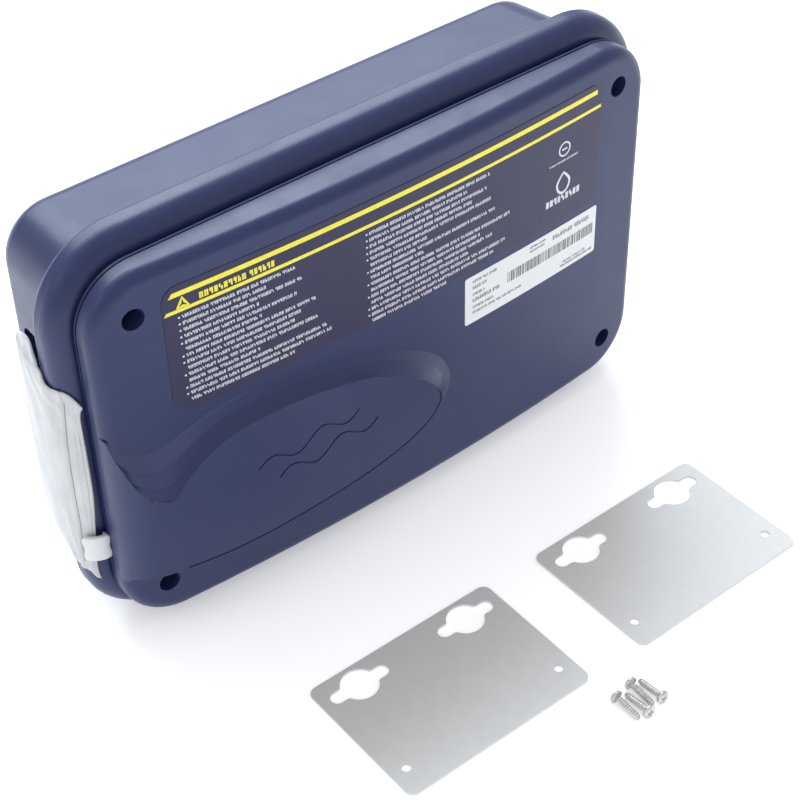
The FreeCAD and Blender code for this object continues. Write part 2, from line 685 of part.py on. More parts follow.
def make_relays():
    relays = []
    for dx in RELAY_COLUMNS:
        relay = on_board(dx, RELAY_ROW, RELAY_SIZE)
        front = edges_where(relay, lambda b: b.YMax < BOARD_FRONT_Y - RELAY_SIZE[2] + PAST)
        relays.append(relay.makeFillet(RELAY_ROUND, front))
    return group(relays)


def fuse_axis(dx, radius, low, high):
    """Rod along a fuse's axis; low and high are measured from the fuse's middle."""
    bx, bz = BOARD_CENTRE
    return rod_z(radius, bx + dx, BOARD_FRONT_Y - FUSE_AXIS_HEIGHT, bz + FUSE_ROW + low, bz + FUSE_ROW + high)


def make_fuse_holders():
    holders = []
    bx, bz = BOARD_CENTRE
    half = FUSE_BASE[1]
    mouth_width, mouth_depth = FUSE_CLIP_MOUTH
    mouth_y = BOARD_FRONT_Y - FUSE_AXIS_HEIGHT - mouth_depth / 2
    for dx in FUSE_COLUMNS:
        ears = [on_board(dx, FUSE_ROW + sz * FUSE_EAR_RISE, FUSE_EAR) for sz in SIDES]
        holder = fuse([on_board(dx, FUSE_ROW, FUSE_BASE)] + ears)
        holder = holder.cut(fuse_axis(dx, FUSE_CLIP_RADIUS, -half, half))
        mouth = centred_box((bx + dx, mouth_y, bz + FUSE_ROW), (mouth_width, mouth_depth, 2 * half))
        holders.append(holder.cut(mouth))
    return group(holders)


def make_fuses():
    fuses = []
    inner = FUSE_HALF_LENGTH - FUSE_CAP_LENGTH
    for dx in FUSE_COLUMNS:
        fuses.append(fuse([fuse_axis(dx, FUSE_GLASS_RADIUS, -inner - PAST, inner + PAST),
                           fuse_axis(dx, FUSE_CAP_RADIUS, -FUSE_HALF_LENGTH, -inner),
                           fuse_axis(dx, FUSE_CAP_RADIUS, inner, FUSE_HALF_LENGTH)]))
    return group(fuses)


def terminal_columns():
    return [TERMINAL_LEFT + (i + 0.5) * TERMINAL_PITCH for i in range(TERMINAL_WAYS)]


def make_terminal_block():
    bx, bz = BOARD_CENTRE
    height, depth = TERMINAL_SIZE
    length = TERMINAL_WAYS * TERMINAL_PITCH
    block = on_board(TERMINAL_LEFT + length / 2, TERMINAL_ROW, (length, height, depth))
    width, well_height, near, far = TERMINAL_WIRE_WELL
    low = bz + TERMINAL_ROW - height / 2
    for dx in terminal_columns():
        x = bx + dx
        block = block.cut(box(x - width / 2, x + width / 2, BOARD_FRONT_Y - far, BOARD_FRONT_Y - near,
                              low - PAST, low + well_height - PAST))
        block = block.cut(board_rod(dx, TERMINAL_ROW + TERMINAL_SCREW_RISE, TERMINAL_WELL_RADIUS,
                                    TERMINAL_SCREW_DEPTH[0], depth + PAST))
    return block


def make_terminal_screws():
    bx, bz = BOARD_CENTRE
    near, far = TERMINAL_SCREW_DEPTH
    row = TERMINAL_ROW + TERMINAL_SCREW_RISE
    slot_width, slot_depth = DRIVER_SLOT
    screws = []
    for dx in terminal_columns():
        slot = centred_box((bx + dx, BOARD_FRONT_Y - far + slot_depth / 2, bz + row),
                           (4 * TERMINAL_SCREW_RADIUS, slot_depth, slot_width))
        screws.append(board_rod(dx, row, TERMINAL_SCREW_RADIUS, near, far).cut(slot))
    return group(screws)


def make_capacitors():
    cans = []
    for dx, dz, radius, height in CAPACITORS:
        can = board_rod(dx, dz, radius, 0, height)
        top = edges_where(can, lambda b: b.YMax < BOARD_FRONT_Y - height + 0.1 and b.ZLength > 1)
        cans.append(can.makeFillet(CAPACITOR_ROUND, top))
    return group(cans)


def make_board_connectors():
    shells = []
    width, height, depth = CONNECTOR_SIZE
    well_size = (width - 2 * CONNECTOR_WALL, height - 2 * CONNECTOR_WALL, depth)
    for dx in CONNECTOR_COLUMNS:
        well = on_board(dx, CONNECTOR_ROW, well_size)
        well.translate(vec(0, -CONNECTOR_FLOOR, 0))
        shells.append(on_board(dx, CONNECTOR_ROW, CONNECTOR_SIZE).cut(well))
    return group(shells)


def make_control_chips():
    return group([on_board(dx, dz, (width, height, depth)) for dx, dz, width, height, depth in CHIPS])


def make_heat_sink():
    dx, dz = SINK_BASE
    width, height, depth = SINK_SIZE
    pitch = (width - SINK_FIN_THICKNESS) / (SINK_FINS - 1)
    pieces = [on_board(dx, dz, SINK_SIZE)]
    for i in range(SINK_FINS):
        fin_x = dx - (width - SINK_FIN_THICKNESS) / 2 + i * pitch
        pieces.append(on_board(fin_x, dz + (height + SINK_FIN_HEIGHT) / 2 - PAST,
                               (SINK_FIN_THICKNESS, SINK_FIN_HEIGHT, depth)))
    return fuse(pieces)


def make_transformer_core():
    tx, tz = TRANSFORMER_CENTRE
    core = centred_box((tx, CORE_MID_Y, tz), CORE_SIZE)
    window_width, window_height = CORE_WINDOW
    for sx in SIDES:
        window_x = tx + sx * (CORE_LEG + window_width) / 2
        window = centred_box((window_x, CORE_MID_Y, tz), (window_width, 2 * CORE_SIZE[1], window_height))
        core = core.cut(window)
    strap = centred_box((tx, TRANSFORMER_BACK_Y - STRAP_SIZE[1] / 2, tz), STRAP_SIZE)
    bridge_height, bridge_depth = STRAP_BRIDGE
    strap = strap.cut(centred_box((tx, TRANSFORMER_BACK_Y - bridge_depth / 2 + PAST, tz),
                                  (2 * STRAP_SIZE[0], bridge_depth + 2 * PAST, bridge_height)))
    for x, z in transformer_holes():
        strap = strap.cut(rod_y(TRANSFORMER_SCREW_RADIUS + TRANSFORMER_HOLE_PLAY, x, z, 0, BACK_Y))
    return fuse([core, strap])


def make_transformer_coil():
    tx, tz = TRANSFORMER_CENTRE
    back = CORE_MID_Y + CORE_SIZE[1] / 2
    coil = centred_box((tx, back - COIL_SIZE[1] / 2, tz), COIL_SIZE)
    coil = coil.makeFillet(COIL_ROUND, edges_where(coil, lambda b: b.ZLength > COIL_SIZE[2] - PAST))
    return coil.cut(centred_box((tx, CORE_MID_Y, tz), (CORE_LEG, CORE_SIZE[1], COIL_SIZE[2] + 2 * PAST)))


def make_transformer_screws():
    seat = TRANSFORMER_BACK_Y - STRAP_SIZE[1]
    length = BACK_Y - 2 * PAST - seat
    return group([headed_screw(x, z, seat, TRANSFORMER_SCREW_HEAD, TRANSFORMER_SCREW_RADIUS, length,
                               TRANSFORMER_SCREW_RECESS) for x, z in transformer_holes()])


def ground_points():
    mid_z = sum(GROUND_BAR_Z) / 2
    return [(GROUND_BAR_X[0] + (i + 0.5) * GROUND_PITCH, mid_z) for i in range(GROUND_WAYS)]


def make_ground_bar():
    x0, x1 = GROUND_BAR_X
    z0, z1 = GROUND_BAR_Z
    feet = [box(x, x + GROUND_FOOT, GROUND_BAR_Y[1] - PAST, BACK_Y - CASE_WALL, z0, z1)
            for x in (x0, x1 - GROUND_FOOT)]
    bar = fuse([box(x0, x1, GROUND_BAR_Y[0], GROUND_BAR_Y[1], z0, z1)] + feet)
    for x, z in ground_points():
        bar = bar.cut(rod_y(GROUND_HOLE_RADIUS, x, z, GROUND_BAR_Y[0] - PAST, GROUND_BAR_Y[1]))
    return bar


def make_ground_screws():
    screws = []
    seat = GROUND_BAR_Y[0]
    head_radius, head_height = GROUND_SCREW_HEAD
    slot_width, slot_depth = DRIVER_SLOT
    for x, z in ground_points():
        solid = fuse([rod_y(head_radius, x, z, seat - head_height, seat),
                      rod_y(GROUND_SCREW_RADIUS, x, z, seat - PAST, seat + GROUND_SCREW_LENGTH)])
        screws.append(solid.cut(centred_box((x, seat - head_height + slot_depth / 2, z),
                                            (3 * head_radius, slot_depth, slot_width))))
    return group(screws)


def make_cable_grommets():
    grommets = []
    low, high = entry_pad_z()
    flange_radius, flange_height = GROMMET_FLANGE
    for x in ENTRY_X:
        body = fuse([rod_z(ENTRY_RADIUS, x, ENTRY_Y, low, high),
                     rod_z(flange_radius, x, ENTRY_Y, low - flange_height, low),
                     rod_z(flange_radius, x, ENTRY_Y, high, high + flange_height)])
        bore = rod_z(GROMMET_BORE_RADIUS, x, ENTRY_Y, low - flange_height - PAST, high + flange_height + PAST)
        grommets.append(body.cut(bore))
    return group(grommets)


def make_keypad_socket():
    def along_x(radius, x0, x1):
        return rod(radius, vec(x0, SOCKET_Y, SOCKET_Z), vec(x1, SOCKET_Y, SOCKET_Z))
    inner_end = BAY_FLOOR_X + CASE_WALL + SOCKET_BARREL_IN
    flange_radius, flange_height = SOCKET_FLANGE
    barrel = along_x(SOCKET_RADIUS - SOCKET_PLAY, BAY_FLOOR_X - SOCKET_BARREL_OUT, inner_end)
    socket = fuse([barrel, along_x(flange_radius, BAY_FLOOR_X - flange_height, BAY_FLOOR_X)])
    depth, width, height = SOCKET_WELL
    well_mid = BAY_FLOOR_X + depth - SOCKET_WELL[0] / 2
    well = centred_box((well_mid - PAST, SOCKET_Y, SOCKET_Z),
                       (depth + 3 * SOCKET_BARREL_OUT, width, height))
    return socket.cut(well)


# ---------------------------------------------------------------- loose mounting kit
def keyhole(cx, cy):
    """Double-ended keyhole: a round eye with a slot to each side."""
    low, high = -PAST, PLATE_THICKNESS + PAST
    r = KEYHOLE_SLOT_WIDTH / 2
    reach = KEYHOLE_LENGTH / 2 - r
    slot = box(cx - reach, cx + reach, cy - r, cy + r, low, high)
    ends = [rod_z(r, cx + s * reach, cy, low, high) for s in SIDES]
    hole = fuse([rod_z(KEYHOLE_EYE_RADIUS, cx, cy, low, high), slot] + ends)
    meet = math.sqrt(KEYHOLE_EYE_RADIUS ** 2 - r ** 2)
    throat = edges_where(hole, lambda b: b.ZLength > PLATE_THICKNESS and abs(b.YMin - cy) < r + 0.5
                         and abs(abs(b.XMin - cx) - meet) < 0.6)
    return hole.makeFillet(KEYHOLE_THROAT_ROUND, throat)


def make_plate(place):
    """Plate lying flat; its rear left corner is the local origin before it is placed."""
    plate = box(0, PLATE_WIDTH, -PLATE_DEPTH, 0, 0, PLATE_THICKNESS)
    plate = plate.makeFillet(PLATE_CORNER, edges_where(plate, lambda b: b.XLength < 0.1 and b.YLength < 0.1))
    for x in (KEYHOLE_INSET_X, PLATE_WIDTH - KEYHOLE_INSET_X):
        plate = plate.cut(keyhole(x, -KEYHOLE_INSET_Y))
    for x in (PLATE_HOLE_INSET_X, PLATE_WIDTH - PLATE_HOLE_INSET_X):
        hole_y = PLATE_HOLE_INSET_Y - PLATE_DEPTH
        plate = plate.cut(rod_z(PLATE_HOLE_RADIUS, x, hole_y, -PAST, PLATE_THICKNESS + PAST))
    x, y, turn = place
    plate.rotate(vec(0, 0, 0), Z_AXIS, turn)
    plate.translate(vec(x, y, 0))
    return plate


def loose_screw():
    """Thread-forming screw along -Y, its head's seat at the origin; the thread is rings of ridges."""
    outline = [vec(0, LOOSE_HEAD_HEIGHT, 0),
               vec(LOOSE_HEAD_RADIUS * LOOSE_HEAD_TOP_SHARE, LOOSE_HEAD_HEIGHT, 0),
               vec(LOOSE_HEAD_RADIUS, LOOSE_HEAD_HEIGHT * LOOSE_HEAD_EDGE_SHARE, 0),
               vec(LOOSE_HEAD_RADIUS, 0, 0),
               vec(LOOSE_ROOT_RADIUS, 0, 0)]
    half_ridge = LOOSE_PITCH * 0.3
    for i in range(LOOSE_RIDGES):
        y = -LOOSE_FIRST_RIDGE - i * LOOSE_PITCH
        outline.append(vec(LOOSE_ROOT_RADIUS, y + half_ridge, 0))
        outline.append(vec(LOOSE_CREST_RADIUS, y, 0))
        outline.append(vec(LOOSE_ROOT_RADIUS, y - half_ridge, 0))
    outline.append(vec(LOOSE_ROOT_RADIUS * LOOSE_TIP_SHARE, -LOOSE_LENGTH, 0))
    outline.append(vec(0, -LOOSE_LENGTH, 0))
    screw = Part.Face(Part.makePolygon(outline + [outline[0]])).revolve(vec(0, 0, 0), Y_AXIS, 360)
    return screw.cut(cross_recess(0, 0, LOOSE_HEAD_HEIGHT, LOOSE_RECESS, -1))


def make_screw_pile():
    tilt = math.degrees(math.asin((LOOSE_HEAD_RADIUS - LOOSE_CREST_RADIUS) / LOOSE_LENGTH))
    screws = []
    for x, y, heading in PILE:
        screw = loose_screw()
        screw.rotate(vec(0, 0, 0), X_AXIS, tilt)
        if heading < 0:
            screw.rotate(vec(0, 0, 0), Z_AXIS, 180)
        screw.translate(vec(x, y, -screw.BoundBox.ZMin))
        screws.append(screw)
    return group(screws)


# ---------------------------------------------------------------- parts bag
def bag_profile():
    """Closed outline in plan: it wraps the rim's rounded front and runs back along the case's side."""
    cx = -(COVER_WIDTH / 2 + RIM_OUTSET) + RIM_FRONT_ROUND
    cy = CASE_FRONT_Y + RIM_FRONT_ROUND

    def on_round(radius, degrees):
        a = math.radians(degrees)
        return vec(cx - radius * math.sin(a), cy - radius * math.cos(a), 0)
    inner = RIM_FRONT_ROUND + BAG_GAP
    outer = inner + BAG_THICKNESS
    mid = (BAG_FRONT_ANGLE + 90) / 2
    side_x = cx - inner
    tail_in, tail_y = BAG_TAIL
    shoulder = vec(side_x, BAG_SIDE_Y, 0)
    tail_inner = vec(side_x + tail_in, tail_y, 0)
    tail_outer = vec(side_x + tail_in - BAG_TAIL_THICKNESS, tail_y, 0)
    belly = vec(cx - outer - BAG_BELLY[0], BAG_BELLY[1], 0)
    edges = [Part.Arc(on_round(inner, BAG_FRONT_ANGLE), on_round(inner, mid), on_round(inner, 90)).toShape(),
             Part.makeLine(on_round(inner, 90), shoulder),
             Part.makeLine(shoulder, tail_inner),
             Part.makeLine(tail_inner, tail_outer),
             Part.Arc(tail_outer, belly, on_round(outer, 90)).toShape(),
             Part.Arc(on_round(outer, 90), on_round(outer, mid), on_round(outer, BAG_FRONT_ANGLE)).toShape(),
             Part.makeLine(on_round(outer, BAG_FRONT_ANGLE), on_round(inner, BAG_FRONT_ANGLE))]
    return Part.Wire(edges)


def make_bag():
    wall = Part.Face(bag_profile()).extrude(vec(0, 0, 2 * CENTRE_Z))
    corners = [vec(-COVER_WIDTH, y, z) for y, z in BAG_SIDE + (BAG_SIDE[0],)]
    pouch = wall.common(Part.Face(Part.makePolygon(corners)).extrude(vec(COVER_WIDTH, 0, 0)))
    track = box(TRACK_X[0], TRACK_X[1], TRACK_Y[0], TRACK_Y[1], TRACK_Z[0], TRACK_Z[1])
    return fuse([pouch, track])


def make_bag_slider():
    block = box(SLIDER_X[0], SLIDER_X[1], SLIDER_Y[0], SLIDER_Y[1], SLIDER_Z[0], SLIDER_Z[1])
    block = block.makeFillet(SLIDER_ROUND, edges_where(block, lambda b: b.YMax < SLIDER_Y[0] + 0.1))
    slot = box(TRACK_X[0] - SLIDER_PLAY, TRACK_X[1] + SLIDER_PLAY,
               TRACK_Y[0] - SLIDER_PLAY, SLIDER_Y[1] + PAST,
               SLIDER_Z[0] - PAST, SLIDER_Z[1] + PAST)
    return block.cut(slot)


# ---------------------------------------------------------------- write every node
def main():
    save("case_body", make_case())
    save("case_gasket", make_gasket())
    save("front_cover", make_cover())
    for number, (x, z) in enumerate(screw_points(), 1):
        save("cover_screw_%d" % number, make_cover_screw(x, z))
    save("cover_label", label_sheet(OVERLAY, 0.0, LABEL_THICKNESS))
    save("rating_label", label_sheet(RATING, 0.0, LABEL_THICKNESS))
    save("wiring_diagram", label_sheet(DIAGRAM, -COVER_WALL - LABEL_THICKNESS, LABEL_THICKNESS))
    save("main_board", make_board())
    save("board_screws", make_board_screws())
    save("relays", make_relays())
    save("fuse_holders", make_fuse_holders())
    save("fuses", make_fuses())
    save("terminal_block", make_terminal_block())
    save("terminal_screws", make_terminal_screws())
    save("capacitors", make_capacitors())
    save("board_connectors", make_board_connectors())
    save("control_chips", make_control_chips())
    save("heat_sink", make_heat_sink())
    save("transformer_core", make_transformer_core())
    save("transformer_coil", make_transformer_coil())
    save("transformer_screws", make_transformer_screws())
    save("ground_bar", make_ground_bar())
    save("ground_screws", make_ground_screws())
    save("cable_grommets", make_cable_grommets())
    save("keypad_socket", make_keypad_socket())
    save("mounting_plate_left", make_plate(LEFT_PLATE))
    save("mounting_plate_right", make_plate(RIGHT_PLATE))
    save("plate_screws", make_screw_pile())
    save("parts_bag", make_bag())
    save("bag_slider", make_bag_slider())


main()
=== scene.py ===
import math
import random

import bmesh
import bpy
from mathutils import Matrix, Vector, noise
from mathutils.bvhtree import BVHTree


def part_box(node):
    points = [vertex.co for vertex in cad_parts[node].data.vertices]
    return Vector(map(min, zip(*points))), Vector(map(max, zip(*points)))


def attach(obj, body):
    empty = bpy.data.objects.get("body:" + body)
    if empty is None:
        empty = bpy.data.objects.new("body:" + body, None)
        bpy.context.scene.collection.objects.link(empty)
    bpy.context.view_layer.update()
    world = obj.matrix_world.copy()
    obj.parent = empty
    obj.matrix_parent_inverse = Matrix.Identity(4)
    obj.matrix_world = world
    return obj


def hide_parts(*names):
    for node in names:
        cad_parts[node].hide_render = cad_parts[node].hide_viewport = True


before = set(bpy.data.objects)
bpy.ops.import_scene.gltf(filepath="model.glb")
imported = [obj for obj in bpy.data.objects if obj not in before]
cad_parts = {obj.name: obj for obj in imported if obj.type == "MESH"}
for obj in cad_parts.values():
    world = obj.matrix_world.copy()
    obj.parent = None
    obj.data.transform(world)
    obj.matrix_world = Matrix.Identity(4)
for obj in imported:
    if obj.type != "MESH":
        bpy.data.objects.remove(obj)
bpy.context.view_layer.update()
case_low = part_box("case_body")[0]
scene = bpy.context.scene
MM = 0.001

# ---------------------------------------------------------------- camera, light and floor
CAMERA_PLACE = (-0.48582, -0.64442, 0.74852)
CAMERA_TURN = (49.1706, 1.0378, -39.2620)
CAMERA_LENS = 84.597
SENSOR = 36.0
AIM = Vector((0.0, 0.0, 0.10))
FLOOR_HALF = 6.0
FLOOR_GLOW = 0.32
SKY_COLOUR = (0.97, 0.98, 1.0, 1.0)
SKY_STRENGTH = 0.88
# Each light: name, place, width and height, power in watts, colour.
SOFTBOXES = (
    ("back_softbox", (0.45, 1.75, 1.95), (2.6, 1.4), 86.0, (0.80, 0.90, 1.0)),
    ("left_softbox", (-2.2, 0.5, 1.5), (0.9, 1.2), 4.0, (0.95, 0.97, 1.0)),
)


def make_camera():
    data = bpy.data.cameras.new("camera")
    data.lens = CAMERA_LENS
    data.sensor_width = SENSOR
    camera = bpy.data.objects.new("camera", data)
    camera.location = CAMERA_PLACE
    camera.rotation_euler = [math.radians(a) for a in CAMERA_TURN]
    scene.collection.objects.link(camera)
    scene.camera = camera


def softbox(name, place, size, power, colour):
    """Soft rectangular studio light that faces the object."""
    data = bpy.data.lights.new(name, "AREA")
    data.shape = "RECTANGLE"
    data.size, data.size_y = size
    data.energy = power
    data.color = colour
    light = bpy.data.objects.new(name, data)
    light.location = place
    light.rotation_euler = (AIM - Vector(place)).to_track_quat("-Z", "Y").to_euler()
    scene.collection.objects.link(light)


def make_studio():
    scene.view_settings.view_transform = "Standard"
    world = bpy.data.worlds.new("studio")
    scene.world = world
    world.use_nodes = True
    sky = world.node_tree.nodes["Background"]
    sky.inputs["Color"].default_value = SKY_COLOUR
    sky.inputs["Strength"].default_value = SKY_STRENGTH
    for light in SOFTBOXES:
        softbox(*light)
    mesh = bpy.data.meshes.new("studio_floor")
    h = FLOOR_HALF
    mesh.from_pydata([(-h, -h, 0), (h, -h, 0), (h, h, 0), (-h, h, 0)], [], [(0, 1, 2, 3)])
    floor = bpy.data.objects.new("studio_floor", mesh)
    scene.collection.objects.link(floor)
    paper = Shader("floor_paper", (0.97, 0.97, 0.972), 0.95)
    paper.bump(paper.noise(300.0, 3.0), 0.02, 0.0002)
    paper.set("Emission Color", (1.0, 1.0, 1.0, 1.0))
    paper.set("Emission Strength", FLOOR_GLOW)
    mesh.materials.append(paper.material)


# ---------------------------------------------------------------- shader building
class Shader:
    """One node material with a Principled shader; its methods add nodes and return their sockets."""

    def __init__(self, name, base, roughness, metallic=0.0, **sockets):
        self.material = bpy.data.materials.new(name)
        self.material.use_nodes = True
        self.tree = self.material.node_tree
        self.principled = self.tree.nodes["Principled BSDF"]
        self.set("Base Color", (*base, 1.0))
        self.set("Roughness", roughness)
        self.set("Metallic", metallic)
        for key, value in sockets.items():
            self.set(key.replace("_", " "), value)
        self.base = base
        self.roughness = roughness
        self.place = self.tree.nodes.new("ShaderNodeTexCoord").outputs["Object"]

    def set(self, socket, value):
        self.principled.inputs[socket].default_value = value

    def link(self, value, socket):
        if isinstance(value, bpy.types.NodeSocket):
            self.tree.links.new(value, socket)
        else:
            socket.default_value = value

    def drive(self, socket, value):
        self.link(value, self.principled.inputs[socket])

    def math(self, operation, a, b=0.0):
        made = self.tree.nodes.new("ShaderNodeMath")
        made.operation = operation
        self.link(a, made.inputs[0])
        self.link(b, made.inputs[1])
        return made.outputs[0]

    def stretched(self, stretch):
        made = self.tree.nodes.new("ShaderNodeVectorMath")
        made.operation = "MULTIPLY"
        self.link(self.place, made.inputs[0])
        made.inputs[1].default_value = stretch
        return made.outputs[0]

    def texture(self, kind, output, stretch=None, **values):
        made = self.tree.nodes.new("ShaderNodeTex" + kind)
        self.link(self.stretched(stretch) if stretch else self.place, made.inputs["Vector"])
        for key, value in values.items():
            made.inputs[key.replace("_", " ")].default_value = value
        return made.outputs[output]

    def noise(self, scale, detail=2.0, roughness=0.5, stretch=None):
        return self.texture("Noise", "Fac", stretch, Scale=scale, Detail=detail, Roughness=roughness)

    def remap(self, value, low, high, to_low=0.0, to_high=1.0):
        made = self.tree.nodes.new("ShaderNodeMapRange")
        for socket, number in zip(list(made.inputs)[:5], (value, low, high, to_low, to_high)):
            self.link(number, socket)
        return made.outputs["Result"]

    def mix(self, factor, a, b):
        made = self.tree.nodes.new("ShaderNodeMix")
        made.data_type = "RGBA"
        self.link(factor, made.inputs[0])
        for value, socket in ((a, made.inputs[6]), (b, made.inputs[7])):
            self.link(value if isinstance(value, bpy.types.NodeSocket) else (*value, 1.0), socket)
        return made.outputs[2]

    def axes(self):
        split = self.tree.nodes.new("ShaderNodeSeparateXYZ")
        self.link(self.place, split.inputs[0])
        return split.outputs

    def bump(self, height, strength, distance):
        made = self.tree.nodes.new("ShaderNodeBump")
        made.inputs["Strength"].default_value = strength
        made.inputs["Distance"].default_value = distance
        self.link(height, made.inputs["Height"])
        self.link(made.outputs["Normal"], self.principled.inputs["Normal"])

    def shade(self, amount, scale=14.0, detail=4.0, stretch=None):
        """Colour that wanders a little darker and lighter than the base."""
        cloud = self.remap(self.noise(scale, detail, stretch=stretch), 0.3, 0.7)
        darker = tuple(c * (1 - amount) for c in self.base)
        lighter = tuple(min(1.0, c * (1 + amount)) for c in self.base)
        return self.mix(cloud, darker, lighter)

    def rub(self, amount, scale=40.0, stretch=None):
        """Roughness that wanders by amount."""
        patches = self.noise(scale, 6.0, 0.65, stretch)
        low, high = self.roughness - amount, self.roughness + amount
        self.drive("Roughness", self.remap(patches, 0.3, 0.7, low, high))


# ---------------------------------------------------------------- materials
def moulded(name, base, roughness, grain=1500.0, depth=0.00003, **sockets):
    """Injection-moulded plastic: spark-eroded grain, faint clouds, rubbed patches and fine scuffs."""
    s = Shader(name, base, roughness, **sockets)
    scuffs = s.remap(s.noise(60.0, 8.0, 0.7, (1.0, 1.0, 9.0)), 0.66, 0.74)
    pale = tuple(min(1.0, c * 1.4 + 0.004) for c in base)
    s.drive("Base Color", s.mix(s.math("MULTIPLY", scuffs, 0.35), s.shade(0.07), pale))
    s.rub(0.05)
    fine = s.noise(grain, 2.0)
    slow = s.noise(55.0, 2.0)
    s.bump(s.math("ADD", fine, s.math("MULTIPLY", slow, 1.6)), 0.4, depth)
    return s


def satin_film(name, base, roughness, **sockets):
    """Printed plastic overlay: smooth, with a faint ripple of the adhesive under it."""
    s = Shader(name, base, roughness, **sockets)
    s.drive("Base Color", s.shade(0.05, 22.0))
    s.rub(0.04, 70.0)
    s.bump(s.noise(190.0, 3.0), 0.25, 0.00004)
    return s


def paper_label(name, base):
    s = Shader(name, base, 0.55)
    s.drive("Base Color", s.shade(0.02, 260.0, 3.0))
    s.rub(0.05, 300.0)
    s.bump(s.noise(1300.0, 4.0, 0.7), 0.3, 0.00002)
    return s


def ink(name, base):
    s = Shader(name, base, 0.5)
    s.drive("Base Color", s.shade(0.06, 500.0, 2.0))
    s.bump(s.noise(2500.0, 2.0), 0.2, 0.00001)
    return s


def zinc_sheet(name, grain_stretch):
    """Rolled and zinc-plated sheet: fine lines along the rolling direction over a faint spangle."""
    s = Shader(name, (0.66, 0.655, 0.64), 0.6, 0.42)
    lines = s.noise(120.0, 6.0, 0.7, grain_stretch)
    spangle = s.texture("Voronoi", "Distance", None, Scale=140.0)
    bright = s.mix(s.remap(lines, 0.3, 0.7), (0.635, 0.635, 0.63), (0.70, 0.695, 0.68))
    s.drive("Base Color", s.mix(s.remap(spangle, 0.2, 0.8, 0.0, 0.25), bright, (0.73, 0.725, 0.705)))
    s.drive("Roughness", s.remap(lines, 0.25, 0.75, 0.50, 0.68))
    s.bump(lines, 0.35, 0.00004)
    return s


def turned_metal(name, base, roughness, lines=(1.0, 30.0, 1.0)):
    """Plain machined or drawn metal with fine tool lines and a little tarnish."""
    s = Shader(name, base, roughness, 1.0)
    marks = s.noise(260.0, 5.0, 0.6, lines)
    tarnish = s.remap(s.noise(220.0, 5.0, 0.6), 0.45, 0.75)
    s.drive("Base Color", s.mix(tarnish, base, tuple(c * 0.72 for c in base)))
    s.drive("Roughness", s.remap(marks, 0.3, 0.7, roughness - 0.07, roughness + 0.1))
    s.bump(marks, 0.3, 0.00003)
    return s


def rubber(name, base):
    s = Shader(name, base, 0.72, Specular_IOR_Level=0.35)
    dust = s.remap(s.noise(90.0, 6.0), 0.45, 0.8)
    s.drive("Base Color", s.mix(dust, base, tuple(c * 1.8 + 0.01 for c in base)))
    s.rub(0.08)
    s.bump(s.noise(900.0, 4.0, 0.7), 0.5, 0.00006)
    return s


def circuit_board(name):
    """Solder mask over copper tracks: a grid of lanes broken up by noise, with round tinned pads."""
    s = Shader(name, (0.008, 0.085, 0.035), 0.32, Coat_Weight=0.4)
    across = s.texture("Wave", "Fac", None, Scale=160.0)
    steps = s.texture("Brick", "Fac", (1.0, 1.0, 1.0), Scale=90.0)
    lanes = s.math("MULTIPLY", s.remap(across, 0.5, 0.6), s.remap(s.noise(38.0, 1.0), 0.48, 0.5))
    tracks = s.math("MAXIMUM", lanes, s.math("MULTIPLY", steps, 0.5))
    pads = s.remap(s.texture("Voronoi", "Distance", (1.0, 0.02, 1.0), Scale=210.0), 0.2, 0.17)
    green = s.mix(tracks, s.base, (0.02, 0.17, 0.07))
    tinned = s.math("MULTIPLY", pads, s.remap(s.noise(30.0, 1.0), 0.5, 0.52))
    s.drive("Base Color", s.mix(tinned, green, (0.6, 0.6, 0.58)))
    s.bump(s.math("ADD", tracks, pads), 0.5, 0.00005)
    return s


def sleeved_can(name, top_y):
    """Electrolytic capacitor: dark printed sleeve with a bare aluminium end that faces the cover."""
    s = Shader(name, (0.02, 0.025, 0.05), 0.3)
    end = s.remap(s.axes()[1], top_y + 0.0012, top_y + 0.0010)
    stripe = s.remap(s.texture("Wave", "Fac", (1.0, 0.0, 0.0), Scale=25.0), 0.82, 0.86)
    sleeve = s.mix(stripe, s.shade(0.1, 80.0), (0.42, 0.44, 0.47))
    s.drive("Base Color", s.mix(end, sleeve, (0.75, 0.76, 0.78)))
    s.drive("Metallic", end)
    s.bump(s.noise(700.0, 3.0), 0.3, 0.00003)
    return s


def laminated_core(name):
    """Stack of varnished steel sheets, seen as fine lines across Y, with rust specks on the edges."""
    s = Shader(name, (0.10, 0.10, 0.105), 0.42, 0.85)
    sheets = s.math("PINGPONG", s.axes()[1], 0.00035)
    lines = s.remap(sheets, 0.0, 0.0001)
    rust = s.remap(s.noise(160.0, 6.0, 0.7), 0.6, 0.75)
    bare = s.mix(lines, (0.03, 0.03, 0.033), (0.16, 0.16, 0.17))
    s.drive("Base Color", s.mix(rust, bare, (0.12, 0.055, 0.025)))
    s.drive("Roughness", s.remap(rust, 0.0, 1.0, 0.38, 0.7))
    s.bump(lines, 0.6, 0.00008)
    return s


def wound_copper(name):
    """Enamelled wire laid side by side in slightly uneven turns, its colour darker in the grooves between
    turns and lighter on each crown: painted shade.
    """
    s = Shader(name, (0.42, 0.13, 0.045), 0.28, 0.9, Coat_Weight=0.5)
    drift = s.math("MULTIPLY", s.noise(60.0, 2.0), 0.0006)
    turn = s.math("PINGPONG", s.math("ADD", s.axes()[1], drift), 0.0003)
    wire_profile_painted_shade = s.remap(turn, 0.0, 0.0003)
    # Colour ramps from dark in the grooves between turns to light on each wire's crown: painted shade.
    s.drive("Base Color", s.mix(wire_profile_painted_shade, (0.16, 0.04, 0.015), (0.55, 0.19, 0.07)))
    s.bump(wire_profile_painted_shade, 0.8, 0.0002)
    return s


